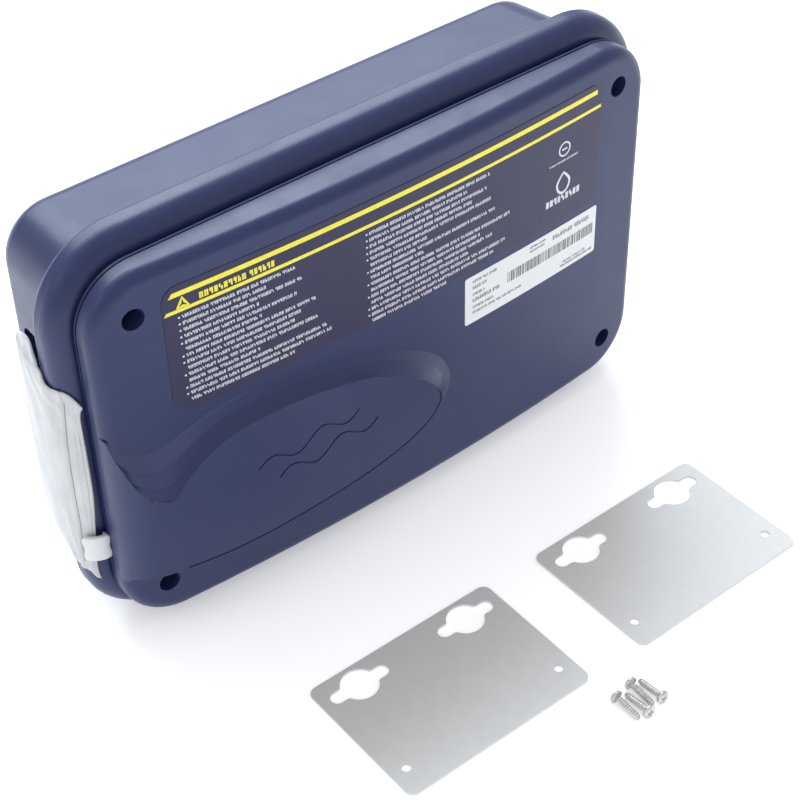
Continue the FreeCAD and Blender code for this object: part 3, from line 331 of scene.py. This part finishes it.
def bag_film(name):
    """Milky polythene: soft creases and cloudy patches of haze."""
    s = Shader(name, (0.50, 0.51, 0.52), 0.42, Specular_IOR_Level=0.35)
    haze = s.remap(s.noise(70.0, 5.0, 0.6, (1.0, 1.4, 0.5)), 0.35, 0.65)
    s.drive("Base Color", s.mix(haze, (0.47, 0.48, 0.487), (0.56, 0.566, 0.57)))
    s.rub(0.08, 120.0)
    creases = s.noise(240.0, 5.0, 0.6, (1.0, 1.0, 0.45))
    s.bump(creases, 0.2, 0.00015)
    return s


# ---------------------------------------------------------------- mesh building
def make_piece(name, points, faces, shader, body, smooth=True):
    """New visible piece from points in metres; its faces are turned outwards, and it rides on body."""
    mesh = bpy.data.meshes.new(name)
    mesh.from_pydata(points, [], faces)
    work = bmesh.new()
    work.from_mesh(mesh)
    bmesh.ops.recalc_face_normals(work, faces=work.faces)
    work.to_mesh(mesh)
    work.free()
    mesh.polygons.foreach_set("use_smooth", [smooth] * len(mesh.polygons))
    mesh.materials.append(shader.material)
    thing = bpy.data.objects.new(name, mesh)
    scene.collection.objects.link(thing)
    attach(thing, body)
    return thing


def ring_faces(rings, size):
    """Quads between rings of size points each, and a cap on each end."""
    faces = []
    for r in range(rings - 1):
        for i in range(size):
            j = (i + 1) % size
            faces.append((r * size + i, r * size + j, (r + 1) * size + j, (r + 1) * size + i))
    faces.append(tuple(range(size)))
    faces.append(tuple((rings - 1) * size + i for i in range(size)))
    return faces


def spline(points, count):
    """count points evenly spaced along a smooth curve through points of any dimension."""
    fine = []
    last = len(points) - 1
    per = 24
    for i in range(last):
        p0, p1, p2, p3 = (Vector(points[max(0, min(last, k))]) for k in (i - 1, i, i + 1, i + 2))
        for k in range(per):
            t = k / per
            fine.append(0.5 * ((2 * p1) + (p2 - p0) * t + (2 * p0 - 5 * p1 + 4 * p2 - p3) * t * t
                               + (3 * p1 - p0 - 3 * p2 + p3) * t ** 3))
    fine.append(Vector(points[-1]))
    reach = [0.0]
    for a, b in zip(fine, fine[1:]):
        reach.append(reach[-1] + (b - a).length)
    found, k = [], 0
    for n in range(count):
        goal = reach[-1] * n / (count - 1)
        while k < len(fine) - 2 and reach[k + 1] < goal:
            k += 1
        span = reach[k + 1] - reach[k]
        found.append(fine[k].lerp(fine[k + 1], (goal - reach[k]) / span if span else 0.0))
    return found


# ---------------------------------------------------------------- printed labels
INK_HEIGHT = 0.07 * MM
INK_ROOT = 0.08 * MM
RAY_START_Y = -1.0
BAR_STEP = 5.0 * MM
# Shares of the letter height: stem, gaps, and the thickness and width of a mark.
STEM = 0.19
GLYPH_GAP = 0.19
WORD_GAP = 0.42
CROSSBAR = 0.16
GLYPH_WIDTH = (0.46, 0.62)
WORD_LETTERS = (3, 10)


class Print:
    """Strokes of ink on a label, gathered into one mesh of thin closed slabs that follow its face."""

    def __init__(self, node, seed):
        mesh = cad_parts[node].data
        corners = [v.co for v in mesh.vertices]
        self.tree = BVHTree.FromPolygons(corners, [p.vertices[:] for p in mesh.polygons])
        self.random = random.Random(seed)
        self.points = []
        self.faces = []

    def lift(self, x, z):
        """Front and back of the ink at x, z, from a ray that meets the label's face."""
        hit = self.tree.ray_cast(Vector((x, RAY_START_Y, z)), Vector((0, 1, 0)))[0]
        return (x, hit.y - INK_HEIGHT, z), (x, hit.y + INK_ROOT, z)

    def ribbon(self, left, right, closed=False):
        """Slab between two edges, each a list of (x, z) in metres; closed joins its ends."""
        start = len(self.points)
        for a, b in zip(left, right):
            self.points += [*self.lift(*a), *self.lift(*b)]
        n = len(left)
        for i in range(n if closed else n - 1):
            a, b = start + 4 * i, start + 4 * ((i + 1) % n)
            self.faces += [(a, a + 2, b + 2, b), (a + 1, b + 1, b + 3, a + 3),
                           (a, b, b + 1, a + 1), (a + 2, a + 3, b + 3, b + 2)]
        if not closed:
            a, b = start, start + 4 * (n - 1)
            self.faces += [(a, a + 1, a + 3, a + 2), (b, b + 2, b + 3, b + 1)]

    def bar(self, x0, x1, z0, z1, slant=0.0):
        """Level bar; slant moves its top end points along X."""
        steps = max(1, math.ceil((x1 - x0) / BAR_STEP))
        xs = [x0 + (x1 - x0) * i / steps for i in range(steps + 1)]
        shifts = [slant] + [0.0] * steps
        self.ribbon([(x, z0) for x in xs], [(x + s, z1) for x, s in zip(xs, shifts)])

    def loop(self, outline, width):
        """Outline of even width around a closed list of (x, z)."""
        count = len(outline)
        middle = Vector((sum(p[0] for p in outline) / count, sum(p[1] for p in outline) / count))
        inner = []
        for p in outline:
            away = Vector(p) - middle
            inner.append(tuple(middle + away * (1 - width / away.length)))
        self.ribbon(outline, inner, closed=True)

    def words(self, x0, x1, z, height, stem=STEM):
        """Row of meaningless upright marks in groups, like small type that can't be read."""
        bottom = z - height / 2
        x = x0
        while x < x1 - height * 0.5:
            for _ in range(self.random.randint(*WORD_LETTERS)):
                width = height * self.random.uniform(*GLYPH_WIDTH)
                if x + width > x1:
                    break
                thick = height * stem
                low = self.random.choice((0.0, 0.0, 0.45))
                high = self.random.choice((1.0, 1.0, 0.6))
                self.bar(x, x + thick, bottom + height * low, bottom + height)
                self.bar(x + width - thick, x + width, bottom, bottom + height * high)
                level = self.random.choice((0.2, 0.45, 0.75))
                z0, z1 = bottom + height * level, bottom + height * (level + CROSSBAR)
                self.bar(x + thick, x + width - thick, z0, z1)
                x += width + height * GLYPH_GAP
            x += height * WORD_GAP

    def piece(self, name, shader):
        return make_piece(name, self.points, self.faces, shader, "cover", smooth=False)


# The overlay's print, in millimetres: left edge, right edge, and height on the box.
STRIPE_TOP = (-138.0, 139.0, 212.0, 214.8)
STRIPE_TOP_SLANT = 2.2
STRIPE_LOW = (-141.0, 142.3, 202.7, 204.7)
STRIPE_LOW_SLANT = 1.4
HEADING = (-121.5, -75.5, 207.6, 3.6)
HEADING_STEM = 0.26
LINE_WIDTH = 1.5
TRIANGLE_CENTRE = (-130.6, 207.1)
TRIANGLE_RADIUS = 4.4
TEXT_HEIGHT = 2.1
TEXT_PITCH = 3.94
BULLET = 1.0
BULLET_INDENT = 2.2
# Each block of small type: start, first row's height, row ends, rows with a bullet.
TEXT_BLOCKS = (
    (-131.6, 199.6, (-67, -83.4, -63.4, -88.4, -67, -88.4, -56, -65, -69.4, -55, -90, -51, -48, -71),
     (0, 1, 2, 3, 4, 6, 7, 9, 11, 12)),
    (-22.4, 199.0, (59.4, 42.4, 56.6, 46.6, 60, 15.6, 62.4, 13, 73.6, 53, 60.6, 43.6, 70.6, 62.4, 29.6),
     (0, 1, 2, 3, 4, 6, 8, 10, 12, 13)),
)
# Plain marks on the right: a barred ring over a line of type, and a drop over bold type.
RING_MARK = (114.5, 188.6, 4.6)
RING_POINTS = 20
RING_WIDTH = 1.0
RING_TYPE = (103, 126, 181.4, 1.2)
DROP = (114.5, 167.5, 7.2)
DROP_POINTS = 36
NAME_BAR = (101.5, 128.5, 157.3, 4.2)
NAME_STEM = 0.3
# The white label's rows of type: left edge, right edge, middle height, letter height.
RATING_ROWS = (
    (47, 65, 134, 1.9), (47, 58, 130, 2.2), (47, 56, 125.4, 1.7), (47, 67, 121.4, 2.4),
    (47, 63, 116.6, 1.7), (47, 84, 113, 1.7), (90, 102.4, 135, 1.4), (90, 102.4, 132.4, 1.4),
    (108, 140, 132.8, 2.8),
    (117, 136, 111.8, 1.5), (115, 141, 109.5, 1.5),
)
BARCODE = (73.0, 141.0, 120.2, 127.2)
BARCODE_MODULE = 0.42


def mm(*numbers):
    return [n * MM for n in numbers]


def print_overlay(yellow, white):
    stripes = Print("cover_label", 11)
    stripes.bar(*mm(*STRIPE_TOP), slant=STRIPE_TOP_SLANT * MM)
    stripes.bar(*mm(*STRIPE_LOW), slant=STRIPE_LOW_SLANT * MM)
    x0, x1, z, height = mm(*HEADING)
    stripes.words(x0, x1, z, height, HEADING_STEM)
    x, z, r = mm(*TRIANGLE_CENTRE, TRIANGLE_RADIUS)
    corners = [Vector((x + r * math.sin(a), z + r * math.cos(a)))
               for a in (math.tau * k / 3 for k in range(3))]
    outline = [corners[k].lerp(corners[(k + 1) % 3], t / 4) for k in range(3) for t in range(4)]
    stripes.loop([tuple(p) for p in outline], LINE_WIDTH * MM)
    stripes.piece("label_yellow_print", yellow)

    small = Print("cover_label", 12)
    for start, first, ends, bullets in TEXT_BLOCKS:
        for row, end in enumerate(ends):
            z = first - row * TEXT_PITCH
            small.words(*mm(start, end, z, TEXT_HEIGHT))
            if row in bullets:
                x = start - BULLET_INDENT
                small.bar(*mm(x, x + BULLET, z - BULLET / 2, z + BULLET / 2))
    x, z, half = mm(*RING_MARK)
    turns = [math.tau * k / RING_POINTS for k in range(RING_POINTS)]
    small.loop([(x + half * math.cos(a), z + half * math.sin(a)) for a in turns], RING_WIDTH * MM)
    small.bar(x - half * 0.45, x + half * 0.45, z - 0.5 * MM, z + 0.5 * MM)
    small.words(*mm(*RING_TYPE))
    x, z, size = mm(*DROP)
    drop = []
    for k in range(DROP_POINTS):
        a = math.tau * k / DROP_POINTS
        narrow = 1 - 0.62 * max(0.0, math.cos(a)) ** 1.5
        drop.append((x + size * 0.78 * math.sin(a) * narrow, z + size * (math.cos(a) - 0.08)))
    small.loop(drop, LINE_WIDTH * MM)
    x0, x1, z, height = mm(*NAME_BAR)
    small.words(x0, x1, z, height, NAME_STEM)
    small.piece("label_white_print", white)


def print_rating(black):
    rows = Print("rating_label", 21)
    for x0, x1, z, height in RATING_ROWS:
        rows.words(*mm(x0, x1, z, height))
    x0, x1, z0, z1 = mm(*BARCODE)
    x = x0
    while x < x1:
        dark = rows.random.choice((1, 1, 2, 3)) * BARCODE_MODULE * MM
        rows.bar(x, min(x + dark, x1), z0, z1)
        x += dark + rows.random.choice((1, 1, 2)) * BARCODE_MODULE * MM
    rows.piece("rating_print", black)


# ---------------------------------------------------------------- loose screws
LOOSE_HEAD = (3.7 * MM, 2.4 * MM)
LOOSE_LENGTH = 15.9 * MM
LOOSE_ROOT = 1.55 * MM
LOOSE_CREST = 2.05 * MM
LOOSE_PITCH = 1.4 * MM
LOOSE_NECK = 1.2 * MM
TIP_TAPER = 1.6 * MM
RECESS = (0.62 * MM, 2.2 * MM, 1.5 * MM)
# Each screw: X and Y of the head's seat in millimetres, and whether its head points back or forward.
PILE = ((-13.4, -220.4, 1), (-7.4, -236.6, -1), (-1.5, -218.6, 1), (4.5, -234.4, -1))
AROUND = 56
SHANK_RINGS = 132
HEAD_RINGS = 30
HEAD_MIDDLE = 0.03
HEAD_EDGE_SHARE = 0.42
DOME_POWER = 2.6
RIDGE_HALF = 0.3
TIP_NARROWING = 0.25
ROLL_STEP = 0.7


def thread_radius(depth, turn):
    """Radius of the shank at a depth below the seat and a share of a turn around it."""
    wave = (depth / LOOSE_PITCH - turn) % 1.0
    ridge = max(0.0, 1.0 - abs(wave - 0.5) / RIDGE_HALF)
    from_tip = (LOOSE_LENGTH - depth) / TIP_TAPER
    fade = min(1.0, max(0.0, (depth - LOOSE_NECK) / LOOSE_PITCH), max(0.0, from_tip))
    taper = 1.0 - TIP_NARROWING * max(0.0, 1 - from_tip)
    return LOOSE_ROOT * taper + (LOOSE_CREST - LOOSE_ROOT) * ridge * fade


def screw_points():
    """Points and faces of one screw along -Y, from the tip's middle up to the head's middle."""
    rings = []
    for k in range(SHANK_RINGS):
        depth = LOOSE_LENGTH * (1 - k / (SHANK_RINGS - 1))
        rings.append([(thread_radius(depth, i / AROUND), -depth) for i in range(AROUND)])
    head_radius, head_height = LOOSE_HEAD
    edge = head_height * HEAD_EDGE_SHARE
    rings.append([(head_radius * 0.97, 0.0)] * AROUND)
    rings.append([(head_radius, edge * 0.15)] * AROUND)
    rings.append([(head_radius, edge)] * AROUND)
    half_arm, reach, deep = RECESS
    for k in range(1, HEAD_RINGS):
        share = 1 - (1 - HEAD_MIDDLE) * k / (HEAD_RINGS - 1)
        dome = math.sqrt(1 - share ** DOME_POWER)
        ring = []
        for i in range(AROUND):
            turn = math.tau * i / AROUND
            r = head_radius * share
            u, w = abs(r * math.cos(turn)), abs(r * math.sin(turn))
            arm = min(u, w) < half_arm and max(u, w) < reach
            sink = deep * (1 - 0.6 * max(u, w) / reach) if arm else 0.0
            ring.append((r, edge + (head_height - edge) * dome - sink))
        rings.append(ring)
    points = []
    for ring in rings:
        for i, (r, y) in enumerate(ring):
            turn = math.tau * i / AROUND
            points.append(Vector((r * math.cos(turn), y, r * math.sin(turn))))
    return points, ring_faces(len(rings), AROUND)


def make_loose_screws(steel):
    points, faces = screw_points()
    tilt = Matrix.Rotation(math.asin((LOOSE_HEAD[0] - LOOSE_CREST) / LOOSE_LENGTH), 4, "X")
    for number, (x, y, heading) in enumerate(PILE, 1):
        about = Matrix.Rotation(0.0 if heading > 0 else math.pi, 4, "Z")
        roll = Matrix.Rotation(ROLL_STEP * number, 4, "Y")
        turned = [about @ tilt @ roll @ p for p in points]
        lowest = min(p.z for p in turned)
        placed = [p + Vector((x * MM, y * MM, -lowest)) for p in turned]
        name = "loose_screw_%d" % number
        screw = make_piece(name, placed, faces, steel, "loose_screws")
        if number == 1:
            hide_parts("plate_screws")


# ---------------------------------------------------------------- parts bag
# The bag is drawn on a flat chart: s runs back from the middle of the rim's rounding, z is height.
RIM_ROUND = 11.3 * MM
CHART_RADIUS = 13.0 * MM
FILM_GAP = 0.5 * MM
BAG_CREASE = ((-3.8, 47.0), (-4.8, 65.3), (-5.6, 80.0), (-5.4, 97.5), (-5.6, 118.2), (-6.6, 138.5),
              (-8.4, 161.6), (-7.8, 168.8))
BAG_FRONT = ((-13.4, 40.5), (-12.6, 47.0), (-12.9, 56.0), (-14.5, 74.0), (-15.9, 90.0), (-16.6, 104.0),
             (-16.7, 130.0), (-16.6, 152.0), (-18.2, 158.5))
BAG_REAR = ((36.9, 79.0), (38.2, 99.0), (38.4, 129.5), (36.6, 160.0), (32.2, 180.5))
STRIP_BOTTOM = ((-13.4, 40.5), (-10.7, 42.0), (-8.2, 45.5), (-3.8, 47.0))
STRIP_TOP = ((-18.2, 158.5), (-16.0, 162.6), (-12.3, 167.0), (-7.8, 168.8))
SIDE_BOTTOM = ((-3.8, 47.0), (8.0, 53.5), (22.0, 65.0), (36.9, 79.0))
SIDE_TOP = ((-7.8, 168.8), (-2.0, 168.9), (2.3, 170.5), (5.5, 176.5), (8.7, 184.5), (13.2, 189.6),
            (20.5, 188.6), (32.2, 180.5))
BAG_ROWS = 150
STRIP_COLUMNS = 26
SIDE_COLUMNS = 62
REAR_TUCK = 5.0 * MM
BAG_LENGTH_BACK = 38.0 * MM
# Folds that fan out from the top rear corner, and long ones up from the crease's lower end:
# direction in degrees, width in degrees, height in millimetres.
FAN_ORIGIN = (34.0, 184.0)
FAN_REACH = (14.0, 78.0)
FAN_FOLDS = ((14.0, 2.6, 0.9), (22.0, 2.2, -0.7), (29.0, 2.6, 0.8), (38.0, 3.4, -0.5),
             (47.0, 3.5, 0.55), (58.0, 5.0, -0.35), (70.0, 5.0, 0.3))
LOW_ORIGIN = (-4.0, 40.0)
LOW_REACH = 80.0
LOW_FOLDS = ((62.0, 5.0, 0.5), (76.0, 4.0, -0.45), (84.0, 2.6, 0.4))
# The two layers, in millimetres: the lower follows a share of its folds, and the gap is edge and rise.
LOWER_SHARE = 0.55
LOWER_DROP = 0.08
LAYER_GAP = (0.18, 0.65)
DEEPEST = -0.25
# Painted shadow line: a dark grey rod along the crease, where the zip strip shades the main panel; heights,
# offset from the crease and rise off the film, in millimetres.
SHADOW_LINE_HEIGHTS = (52.0, 163.0)
SHADOW_LINE_OFFSET = -1.5
SHADOW_LINE_RAISE = 0.08
RIB_HEIGHTS = (50.0, 155.0)
RIB_OFFSETS = (0.6, 2.4)
LINE_POINTS = 90


def coons(bottom, top, left, right, columns, rows):
    """Grid of chart points between four edge curves, row by row from the bottom."""
    b, t = spline(bottom, columns), spline(top, columns)
    l, r = spline(left, rows), spline(right, rows)
    grid = []
    for j in range(rows):
        v = j / (rows - 1)
        row = []
        for i in range(columns):
            u = i / (columns - 1)
            corner = (b[0] * (1 - u) + b[-1] * u) * (1 - v) + (t[0] * (1 - u) + t[-1] * u) * v
            row.append(b[i] * (1 - v) + t[i] * v + l[j] * (1 - u) + r[j] * u - corner)
        grid.append(row)
    return grid


def on_case(s, z, out):
    """Point of the chart laid around the rim's rounding and along the side, out from its surface."""
    cx, cy = case_low.x + RIM_ROUND, case_low.y + RIM_ROUND
    radius = RIM_ROUND + FILM_GAP + out
    if s < 0:
        a = math.pi / 2 + s / CHART_RADIUS
        return Vector((cx - radius * math.sin(a), cy - radius * math.cos(a), z))
    back = s / BAG_LENGTH_BACK
    return Vector((cx - radius + REAR_TUCK * back ** 1.5, cy + s, z))


def along(curve, z):
    """Chart position of a rising curve at height z."""
    for (s0, z0), (s1, z1) in zip(curve, curve[1:]):
        if z <= z1:
            return s0 + (s1 - s0) * max(0.0, (z - z0) / (z1 - z0))
    return curve[-1][0]


def hump(value, centre, width):
    return math.exp(-((value - centre) / width) ** 2)


def film_height(s, z, layer):
    """How far the film stands off its base, in millimetres, at chart point s, z in millimetres."""
    fold = s - along(BAG_CREASE, z)
    height = 0.55 * hump(fold, 0.0, 1.5)
    wander = noise.noise(Vector((s * 0.09, z * 0.05, 3.1 * layer)))
    fine = noise.noise(Vector((s * 0.31, z * 0.2, 7.7 + layer)))
    height += 0.24 * wander + 0.05 * fine
    if fold < 0:
        height -= 0.42 * hump(fold, -1.5, 0.55)
        height += 0.22 * hump(fold, -5.2, 0.9) + 0.14 * hump(fold, -7.4, 0.8)
        edge = max(0.0, (-12.5 - s) / 4.0)
        height += 1.3 * edge ** 2
        return height
    back = min(1.0, fold / 44.0)
    up = (z - 47.0) / 140.0
    across = math.sin(math.pi * back) ** 0.8
    height += (1.9 + 0.5 * layer) * across * (0.35 + 0.65 * math.sin(math.pi * up))
    # folds that fan out from the top rear corner towards the crease
    dx, dz = s - FAN_ORIGIN[0], z - FAN_ORIGIN[1]
    reach = math.hypot(dx, dz)
    angle = math.degrees(math.atan2(-dz, -dx))
    fan = min(1.0, reach / FAN_REACH[0]) * max(0.0, 1 - reach / FAN_REACH[1])
    for centre, width, size in FAN_FOLDS:
        wave = centre + 3.0 * math.sin(reach * 0.07 + centre)
        height += size * fan * hump(angle, wave, width)
    # a gathered band along the top edge
    height += 0.45 * math.sin(s * 0.62 + 0.05 * z) * max(0.0, 1 - abs(z - 186.0 + 0.2 * s) / 14.0)
    # long soft folds up from the lower end of the crease
    dx, dz = s - LOW_ORIGIN[0], z - LOW_ORIGIN[1]
    angle = math.degrees(math.atan2(dz, max(0.1, dx)))
    near = max(0.0, 1 - math.hypot(dx, dz) / LOW_REACH)
    for centre, width, size in LOW_FOLDS:
        height += size * near * hump(angle, centre, width)
    return height


def film_top(s, z):
    """Height of the bag's outer surface, in millimetres, away from its edges."""
    lower = film_height(s, z, 0) * LOWER_SHARE - LOWER_DROP
    return max(film_height(s, z, 1), lower) + sum(LAYER_GAP)


def make_bag(film, shadow_shader):
    strip = coons(STRIP_BOTTOM, STRIP_TOP, BAG_FRONT, BAG_CREASE, STRIP_COLUMNS, BAG_ROWS)
    side = coons(SIDE_BOTTOM, SIDE_TOP, BAG_CREASE, BAG_REAR, SIDE_COLUMNS, BAG_ROWS)
    chart = [a + b[1:] for a, b in zip(strip, side)]
    columns = len(chart[0])
    points, faces = [], []
    index = {}
    for j, row in enumerate(chart):
        for i, (s, z) in enumerate(row):
            rim = min(i, columns - 1 - i, 3 * j, 3 * (BAG_ROWS - 1 - j)) / 6.0
            plump = math.sqrt(min(1.0, rim))
            low = film_height(s, z, 0) * LOWER_SHARE
            high = film_height(s, z, 1)
            gap = LAYER_GAP[0] + LAYER_GAP[1] * plump
            for layer, out in ((0, low - LOWER_DROP), (1, max(high, low) + gap)):
                index[layer, j, i] = len(points)
                points.append(on_case(s * MM, z * MM, max(DEEPEST, out) * MM))
    for j in range(BAG_ROWS - 1):
        for i in range(columns - 1):
            for layer in (0, 1):
                faces.append((index[layer, j, i], index[layer, j, i + 1],
                              index[layer, j + 1, i + 1], index[layer, j + 1, i]))
    border = [(0, i) for i in range(columns)]
    border += [(j, columns - 1) for j in range(1, BAG_ROWS)]
    border += [(BAG_ROWS - 1, i) for i in range(columns - 2, -1, -1)]
    border += [(j, 0) for j in range(BAG_ROWS - 2, 0, -1)]
    for (j, i), (jj, ii) in zip(border, border[1:] + border[:1]):
        faces.append((index[0, j, i], index[0, jj, ii], index[1, jj, ii], index[1, j, i]))
    pouch = make_piece("bag_pouch", points, faces, film, "case")
    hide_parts("parts_bag")

    # Dark grey rod beside the crease: painted shadow where the zip strip shades the panel.
    shadow_line = film_line(BAG_CREASE, SHADOW_LINE_OFFSET, SHADOW_LINE_HEIGHTS, SHADOW_LINE_RAISE)
    tube_piece("bag_painted_shadow_line", shadow_line, 0.26 * MM, shadow_shader, "case")
    for number, offset in enumerate(RIB_OFFSETS, 1):
        rib = film_line(BAG_FRONT, offset, RIB_HEIGHTS, 0.0)
        tube_piece("bag_zip_rib_%d" % number, rib, 0.32 * MM, film, "case")


def film_line(curve, offset, heights, raised):
    """Points on the bag's outer surface, beside a curve and between two heights."""
    start, end = heights
    line = []
    for k in range(LINE_POINTS):
        z = start + (end - start) * k / (LINE_POINTS - 1)
        s = along(curve, z) + offset
        line.append(on_case(s * MM, z * MM, (film_top(s, z) + raised) * MM))
    return line


def tube_piece(name, path, radius, shader, body, sides=10):
    """Round rod along a list of points, with tapered ends."""
    points = []
    count = len(path)
    for k, p in enumerate(path):
        ahead = (path[min(k + 1, count - 1)] - path[max(k - 1, 0)]).normalized()
        one = ahead.orthogonal().normalized()
        if k and one.dot(keep) < 0.99:
            one = (keep - ahead * keep.dot(ahead)).normalized()
        keep = one
        two = ahead.cross(one)
        r = radius * min(1.0, 0.35 + 0.65 * min(k, count - 1 - k) / 2)
        for i in range(sides):
            a = math.tau * i / sides
            points.append(p + one * (r * math.cos(a)) + two * (r * math.sin(a)))
    return make_piece(name, points, ring_faces(count, sides), shader, body)


# The slider on the same chart, in millimetres: its span, its height off the case, and its lip.
SLIDER_S = (-20.2, -8.0)
SLIDER_OUT = (2.5, 5.0)
SLIDER_LIP = (-17.8, 0.6)
SLIDER_RINGS = 44
SLIDER_AROUND = 64
SLIDER_SQUARE = 4


def make_bag_slider(shader):
    """Zip slider: a waisted block with finger ribs over the strip, and a lip that hooks around its edge."""
    low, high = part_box("bag_slider")
    s_mid, s_half = sum(SLIDER_S) / 2, (SLIDER_S[1] - SLIDER_S[0]) / 2
    out_mid, out_half = sum(SLIDER_OUT) / 2, (SLIDER_OUT[1] - SLIDER_OUT[0]) / 2
    points = []
    for k in range(SLIDER_RINGS):
        t = k / (SLIDER_RINGS - 1)
        z = low.z + (high.z - low.z) * t
        near = min(t, 1 - t)
        end = 0.72 + 0.28 * math.sqrt(near / 0.1) if near < 0.1 else 1.0
        waist = 1.0 - 0.10 * hump(t, 0.5, 0.2)
        rib = 0.10 * max(0.0, math.sin(t * math.pi * 12)) if 0.2 < t < 0.8 else 0.0
        for i in range(SLIDER_AROUND):
            a = math.tau * i / SLIDER_AROUND
            c, d = math.cos(a), math.sin(a)
            square = (abs(c) ** SLIDER_SQUARE + abs(d) ** SLIDER_SQUARE) ** (-1 / SLIDER_SQUARE)
            s = s_mid + s_half * c * square * end * waist
            out = out_mid + out_half * d * square * (end + (rib if d > 0.3 else 0.0))
            if d < -0.3 and s < SLIDER_LIP[0]:
                out = SLIDER_LIP[1]
            points.append(on_case(s * MM, z, out * MM))
    faces = ring_faces(SLIDER_RINGS, SLIDER_AROUND)
    block = make_piece("bag_slider_block", points, faces, shader, "bag_zip_slider")
    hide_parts("bag_slider")


# ---------------------------------------------------------------- putting it together
def dress(node, shader):
    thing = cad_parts[node]
    thing.data.materials.clear()
    thing.data.materials.append(shader.material)


make_camera()
make_studio()

NAVY = (0.0155, 0.0235, 0.088)
steel = turned_metal("plated_steel", (0.62, 0.62, 0.61), 0.33)
finishes = {
    "case_body": moulded("case_plastic", NAVY, 0.36, Specular_IOR_Level=0.38),
    "front_cover": moulded("cover_plastic", NAVY, 0.37, Specular_IOR_Level=0.38),
    "case_gasket": rubber("seal_rubber", (0.03, 0.03, 0.032)),
    "cover_label": satin_film("label_film", (0.021, 0.019, 0.064), 0.36, Specular_IOR_Level=0.34),
    "rating_label": paper_label("label_white", (0.74, 0.75, 0.755)),
    "wiring_diagram": paper_label("diagram_white", (0.80, 0.80, 0.78)),
    "main_board": circuit_board("circuit_board"),
    "board_screws": steel,
    "relays": moulded("relay_plastic", (0.015, 0.05, 0.16), 0.35),
    "fuse_holders": moulded("holder_plastic", (0.02, 0.02, 0.02), 0.45),
    "fuses": turned_metal("fuse_metal", (0.72, 0.71, 0.68), 0.22),
    "terminal_block": moulded("terminal_plastic", (0.05, 0.22, 0.09), 0.42),
    "terminal_screws": steel,
    "capacitors": sleeved_can("can_sleeve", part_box("capacitors")[0].y),
    "board_connectors": moulded("connector_plastic", (0.72, 0.69, 0.58), 0.4),
    "control_chips": moulded("chip_plastic", (0.018, 0.018, 0.02), 0.55),
    "heat_sink": turned_metal("sink_aluminium", (0.55, 0.56, 0.58), 0.38, (1.0, 1.0, 20.0)),
    "transformer_core": laminated_core("core_steel"),
    "transformer_coil": wound_copper("coil_copper"),
    "transformer_screws": steel,
    "ground_bar": turned_metal("bar_brass", (0.68, 0.48, 0.20), 0.28, (20.0, 1.0, 1.0)),
    "ground_screws": turned_metal("ground_brass", (0.60, 0.44, 0.20), 0.32),
    "cable_grommets": rubber("grommet_rubber", (0.02, 0.02, 0.021)),
    "keypad_socket": moulded("socket_plastic", (0.02, 0.02, 0.022), 0.4),
    "mounting_plate_left": zinc_sheet("plate_zinc_left", (1.0, 14.0, 1.0)),
    "mounting_plate_right": zinc_sheet("plate_zinc_right", (1.0, 14.0, 1.0)),
}
for number in range(1, 5):
    name = "cover_screw_%d" % number
    finishes[name] = turned_metal("cover_screw_steel_%d" % number, (0.5, 0.5, 0.5), 0.35)
for node, shader in finishes.items():
    dress(node, shader)

film = bag_film("bag_film")
# The grey rod's material is painted shadow along the bag's crease.
make_bag(film, moulded("painted_shadow_grey", (0.25, 0.26, 0.28), 0.5))
make_bag_slider(moulded("slider_plastic", (0.62, 0.63, 0.635), 0.38))
make_loose_screws(turned_metal("loose_screw_zinc", (0.62, 0.61, 0.595), 0.30, (6.0, 1.0, 6.0)))
print_overlay(ink("yellow_ink", (0.83, 0.74, 0.05)), ink("white_ink", (0.66, 0.67, 0.72)))
print_rating(ink("black_ink", (0.16, 0.16, 0.18)))
